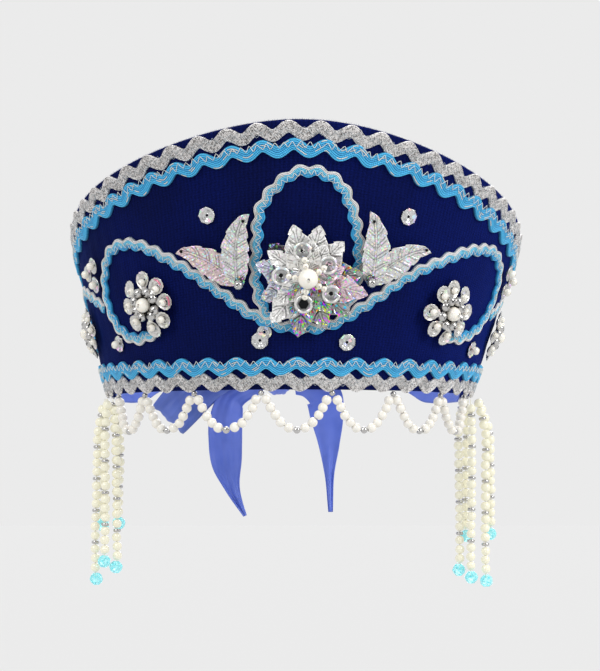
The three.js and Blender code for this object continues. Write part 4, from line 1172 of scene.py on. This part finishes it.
def fine_rows(table, steps):
    """Smooth rows between the sections of a table, evenly spaced along its first three columns."""
    rows = np.asarray(table, float)
    length = np.concatenate([[0], np.cumsum(np.linalg.norm(np.diff(rows[:, :3], axis=0), axis=1))])
    even = np.linspace(0, length[-1], steps)
    slopes = np.gradient(rows, length, axis=0)
    i = np.clip(np.searchsorted(length, even, side="right") - 1, 0, len(rows) - 2)
    gap = (length[i + 1] - length[i])[:, None]
    t = ((even - length[i])[:, None]) / gap
    a, b = rows[i], rows[i + 1]
    ta, tb = slopes[i] * gap, slopes[i + 1] * gap
    return ((2 * t ** 3 - 3 * t ** 2 + 1) * a + (t ** 3 - 2 * t ** 2 + t) * ta
            + (-2 * t ** 3 + 3 * t ** 2) * b + (t ** 3 - t ** 2) * tb), even


def ribbon_skin(top, normal, length, across, name, material, replaces):
    """A thin closed sheet through a grid of points."""
    low = top - normal * RIBBON_THICK
    rings = np.concatenate([top, low[:, ::-1]], 1)
    uv = grid_uv(length, np.concatenate([across, across[::-1]]))
    shape = Shape().add(rings, loft_faces(len(rings), rings.shape[1]), uv)
    piece = shape.make(name, [material], "satin", replaces)
    quads = np.cross(np.diff(top, axis=0)[:, :-1], np.diff(top, axis=1)[:-1])
    area = float(np.linalg.norm(quads, axis=-1).sum())
    return piece


def ribbon_band(table, name, replaces, flat, folds, seed, held="hung", rests_on=(), cut=0.0):
    """A band of satin through (x, y, z, half width, tip) rows, pressed into soft folds along its length."""
    steps, columns = 110, 33
    rows, length = fine_rows(table, steps)
    middle, half = rows[:, :3], np.maximum(rows[:, 3], 0.7)
    along = unit(np.gradient(middle, axis=0))
    if rows.shape[1] == 5:
        tip = np.radians(rows[:, 4])
        side = np.stack([np.sin(tip), 0 * tip, np.cos(tip)], -1)
    else:
        side = np.stack([along[:, 2], 0 * along[:, 0], -along[:, 0]], -1)
    side = unit(side - along * np.sum(side * along, -1, keepdims=True))
    out = np.cross(along, side)
    v = np.linspace(-1, 1, columns)[None]
    share = (length / length[-1])[:, None]
    rng = np.random.default_rng(seed)
    press = np.zeros((steps, columns))
    for depth, count in folds:
        wave = np.sin(np.pi * count * v + rng.uniform(0, TURN) + 1.1 * share)
        press += depth * wave * (0.35 + 0.65 * share)
    press += 0.35 * noise(np.stack(np.broadcast_arrays(length[:, None], v * half[:, None]), -1), 14.0, seed)
    press *= ease(share, 0, 0.12) + 0.25
    drawn = v * half[:, None] * (1 + 0.06 * np.sin(7 * share + rng.uniform(0, TURN)))
    slide = cut * v * half[:, None] * ease(share, 0.55, 1.0)
    top = middle[:, None] + side[:, None] * drawn[..., None] + out[:, None] * press[..., None]
    top = top + along[:, None] * slide[..., None]
    normal = unit(np.cross(np.gradient(top, axis=0), np.gradient(top, axis=1)))
    satin = SATIN_SHADE if "loop" in name else SATIN
    across = (v[0] + 1) / 2 * flat[0] / MM
    return ribbon_skin(top, normal, length, across, name, satin, replaces)


def add_ribbon_ties():
    """The ends of the ribbon, sewn inside the wall and drawn together behind it."""
    sections = [
        (98, -2, 20, 1, 0), (107, -2, 20, 1, 0), (116, -2, 21, 1, 0), (125, -1, 22, 1, 0),
        (134, 5, 25, 0.6, 0.6), (144, 8, 26, 0.3, 2.4), (154, 9, 25, 0.2, 4.6),
        (164, 10, 22, 0, 6.8), (171, 12, 19, 0, 8.6),
    ]
    rows = np.array(sections, float)
    fine = np.linspace(98, 171, 110)
    low, high, flare, out = (np.interp(fine, rows[:, 0], rows[:, i]) for i in (1, 2, 3, 4))
    soft = np.ones(9) / 9
    low, high, flare, out = (np.convolve(np.pad(row, 4, mode="edge"), soft, "valid")
                             for row in (low, high, flare, out))
    for seed, (name, mirror) in enumerate((("ribbon_tie_left", -1), ("ribbon_tie_right", 1))):
        v = np.linspace(0, 1, 27)[None]
        a = np.radians(mirror * fine)[:, None]
        up = low[:, None] + (high - low)[:, None] * v
        gather = ease(fine, 128, 165)[:, None]
        press = 0.9 * gather * np.sin(np.pi * 5 * v + 0.5 * seed + a) + 0.12 * np.sin(9 * a + 4 * v)
        press = press * np.sin(np.pi * np.clip(v, 0.02, 0.98)) ** 0.4
        radius = RIM_RADIUS - WALL - 0.9 + out[:, None] + FLARE * flare[:, None] * up + press
        top = np.stack([radius * np.sin(a) + SIDE_LEAN * up, -radius * np.cos(a), up + 0 * a], -1)
        if mirror == 1:
            top = top[:, ::-1]
        normal = unit(np.cross(np.gradient(top, axis=0), np.gradient(top, axis=1)))
        length = np.radians(fine - 98) * RIM_RADIUS
        ribbon_skin(top, normal, length, v[0] * 22, name + "_satin", SATIN, [name])


def add_bow():
    loop_left = [
        (-12, 100, 17, 4, 0), (-20, 103.4, 18.4, 8.5, -6), (-30, 105.2, 16.6, 10.5, -22),
        (-42, 105.4, 8.5, 11, -40), (-52, 104, -1.5, 11, -46), (-57.2, 101.2, -7.4, 10.6, -48),
        (-58.6, 98.4, -9, 10.4, -48), (-57, 95.8, -7.4, 10.6, -48), (-51, 93.6, -1, 11, -46),
        (-40, 93.2, 9.2, 10.5, -40), (-28, 94, 15.6, 9.5, -22), (-19, 94.6, 16.6, 7, -6),
        (-12.2, 95.4, 15.8, 3.4, 0),
    ]
    loop_right = [
        (10, 100, 17, 4, 0), (18, 103.4, 19.4, 8.5, 2), (29, 105.2, 21.4, 10, 4),
        (42, 104.4, 21, 10.5, -2), (53, 101, 18.6, 10.5, -8), (58.6, 97.4, 17, 10.2, -10),
        (60, 94.4, 16.6, 10, -10), (57.6, 92, 17, 10.2, -10), (50, 91, 18.4, 10.5, -6),
        (39, 92.4, 20, 10, 0), (27, 94.4, 19, 9, 4), (17, 95.4, 17, 6.6, 2),
        (10.2, 95.6, 15.6, 3.4, 0),
    ]
    tail_left = [
        (-9, 98.8, 8.6, 3.2), (-16, 98.9, 7, 5), (-24.6, 99, 2.4, 7.4), (-28, 99, -8, 9),
        (-28.4, 99, -20, 8.6), (-27.6, 99, -32, 7.4), (-24.8, 98.9, -44, 4), (-18, 98.8, -59, 0.8),
    ]
    tail_right = [
        (8.2, 98.9, 7.6, 3), (13, 98.9, 8, 4.6), (22.4, 99, 4.6, 9.6), (24.8, 99, -7, 9.2),
        (26, 99, -22, 5.6), (26.2, 98.9, -36, 2.6), (26.8, 98.8, -57, 1.2),
    ]
    knot = ["bow_knot_satin"]
    folds = [(0.55, 2.2), (0.22, 5.0)]
    bend = dict(held="gathered", rests_on=knot)
    ribbon_band(loop_left, "bow_loop_left_satin", ["ribbon_loop_left"], (0.023, 0.125), folds, 3, **bend)
    ribbon_band(loop_right, "bow_loop_right_satin", ["ribbon_loop_right"], (0.023, 0.122), folds, 4, **bend)
    hang = dict(held="hung", rests_on=knot)
    ribbon_band(tail_left, "bow_tail_left_satin", ["ribbon_tail_left"], (0.018, 0.080),
                [(0.5, 1.6), (0.2, 4)], 5, **hang)
    ribbon_band(tail_right, "bow_tail_right_satin", ["ribbon_tail_right"], (0.018, 0.082),
                [(0.6, 1.5)], 6, **hang)


def add_knot():
    """The knot: satin pulled tight round the middle of the bow, with folds that run across it."""
    points, faces = ball(1.0, 96, 60)
    a = np.arctan2(points[:, 1], points[:, 0])
    up = points[:, 2]
    fold = 0.05 * np.sin(11 * points[:, 0] + 2.2 * up)
    fold = fold + 0.03 * np.sin(23 * points[:, 0] + 1.1 * np.sin(3 * a))
    waist = 1 - 0.10 * np.exp(-(up / 0.35) ** 2)
    swell = 0.97 + fold * (1 - 0.5 * np.abs(up))
    skin = points * KNOT_SIZE * swell[:, None] * waist[:, None]
    shape = Shape().add(skin + KNOT_CENTRE, faces, np.stack([a * 9, up * 11], -1))
    shape.make("bow_knot_satin", [SATIN], "satin", ["ribbon_knot"])


# Camera, floor and light


def add_stage():
    data = bpy.data.cameras.new("camera")
    data.sensor_fit = "HORIZONTAL"
    data.sensor_width = 36.0
    data.lens = CAMERA_LENS
    data.shift_x = CAMERA_SHIFT
    camera = bpy.data.objects.new("camera", data)
    a = math.radians(CAMERA_AROUND)
    camera.location = (CAMERA_DISTANCE * math.sin(a), -CAMERA_DISTANCE * math.cos(a), CAMERA_UP)
    camera.rotation_euler = (math.radians(90 + CAMERA_PITCH), 0, a)
    bpy.context.scene.collection.objects.link(camera)
    bpy.context.scene.camera = camera

    half = 30.0
    mesh = bpy.data.meshes.new("floor")
    mesh.from_pydata([(-half, -half, FLOOR_UP), (half, -half, FLOOR_UP), (half, half, FLOOR_UP),
                      (-half, half, FLOOR_UP)], [], [(0, 1, 2, 3)])
    s = Shader("pale_floor", Roughness=0.9)
    s.put(s.surface, "Base Color", (0.10, 0.10, 0.10, 1))
    s.put(s.surface, "Emission Color", (1, 1, 1, 1))
    s.put(s.surface, "Emission Strength", FLOOR_GLOW)
    mesh.materials.append(s.material)
    floor = bpy.data.objects.new("floor", mesh)
    bpy.context.scene.collection.objects.link(floor)

    world = bpy.data.worlds.new("studio")
    bpy.context.scene.world = world
    world.use_nodes = True
    tree = world.node_tree
    background = tree.nodes["Background"]
    coords = tree.nodes.new("ShaderNodeTexCoord")
    split = tree.nodes.new("ShaderNodeSeparateXYZ")
    front = tree.nodes.new("ShaderNodeMapRange")
    seen = tree.nodes.new("ShaderNodeLightPath")
    mix = tree.nodes.new("ShaderNodeMix")
    mix.data_type = "FLOAT"
    tree.links.new(coords.outputs["Generated"], split.inputs[0])
    tree.links.new(split.outputs[1], front.inputs["Value"])
    front.inputs["From Min"].default_value = -0.98
    front.inputs["From Max"].default_value = -0.62
    front.inputs["To Min"].default_value = ROOM_FRONT
    front.inputs["To Max"].default_value = ROOM_SIDE
    tree.links.new(seen.outputs["Is Camera Ray"], mix.inputs[0])
    tree.links.new(front.outputs[0], mix.inputs[2])
    mix.inputs[3].default_value = PALE
    tree.links.new(mix.outputs[0], background.inputs["Strength"])
    background.inputs["Color"].default_value = (1, 1, 1, 1)

    lamps = [
        ("key_left", (-0.9, -1.1, 0.9), 0.8, 9.0),
        ("key_right", (1.1, -0.8, 0.7), 0.7, 12.0),
        ("top", (0.0, 0.1, 1.3), 0.9, 7.0),
        ("back", (0.3, 1.2, 0.6), 0.8, 5.0),
    ]
    for name, place, size, power in lamps:
        light = bpy.data.lights.new(name, "AREA")
        light.shape = "DISK"
        light.size = size
        light.energy = power
        lamp = bpy.data.objects.new(name, light)
        lamp.location = place
        lamp.rotation_euler = (Vector((0, 0, 0.04)) - lamp.location).to_track_quat("-Z", "Y").to_euler()
        bpy.context.scene.collection.objects.link(lamp)
    bpy.context.scene.view_settings.view_transform = "Standard"


add_wall()
add_pile()
add_ricrac()
add_braids()
add_leaves()
add_sequins()
add_centre_flower()
add_side_flowers()
add_trefoils()
add_swags()
add_tassels()
add_knot()
add_ribbon_ties()
add_bow()
add_stage()
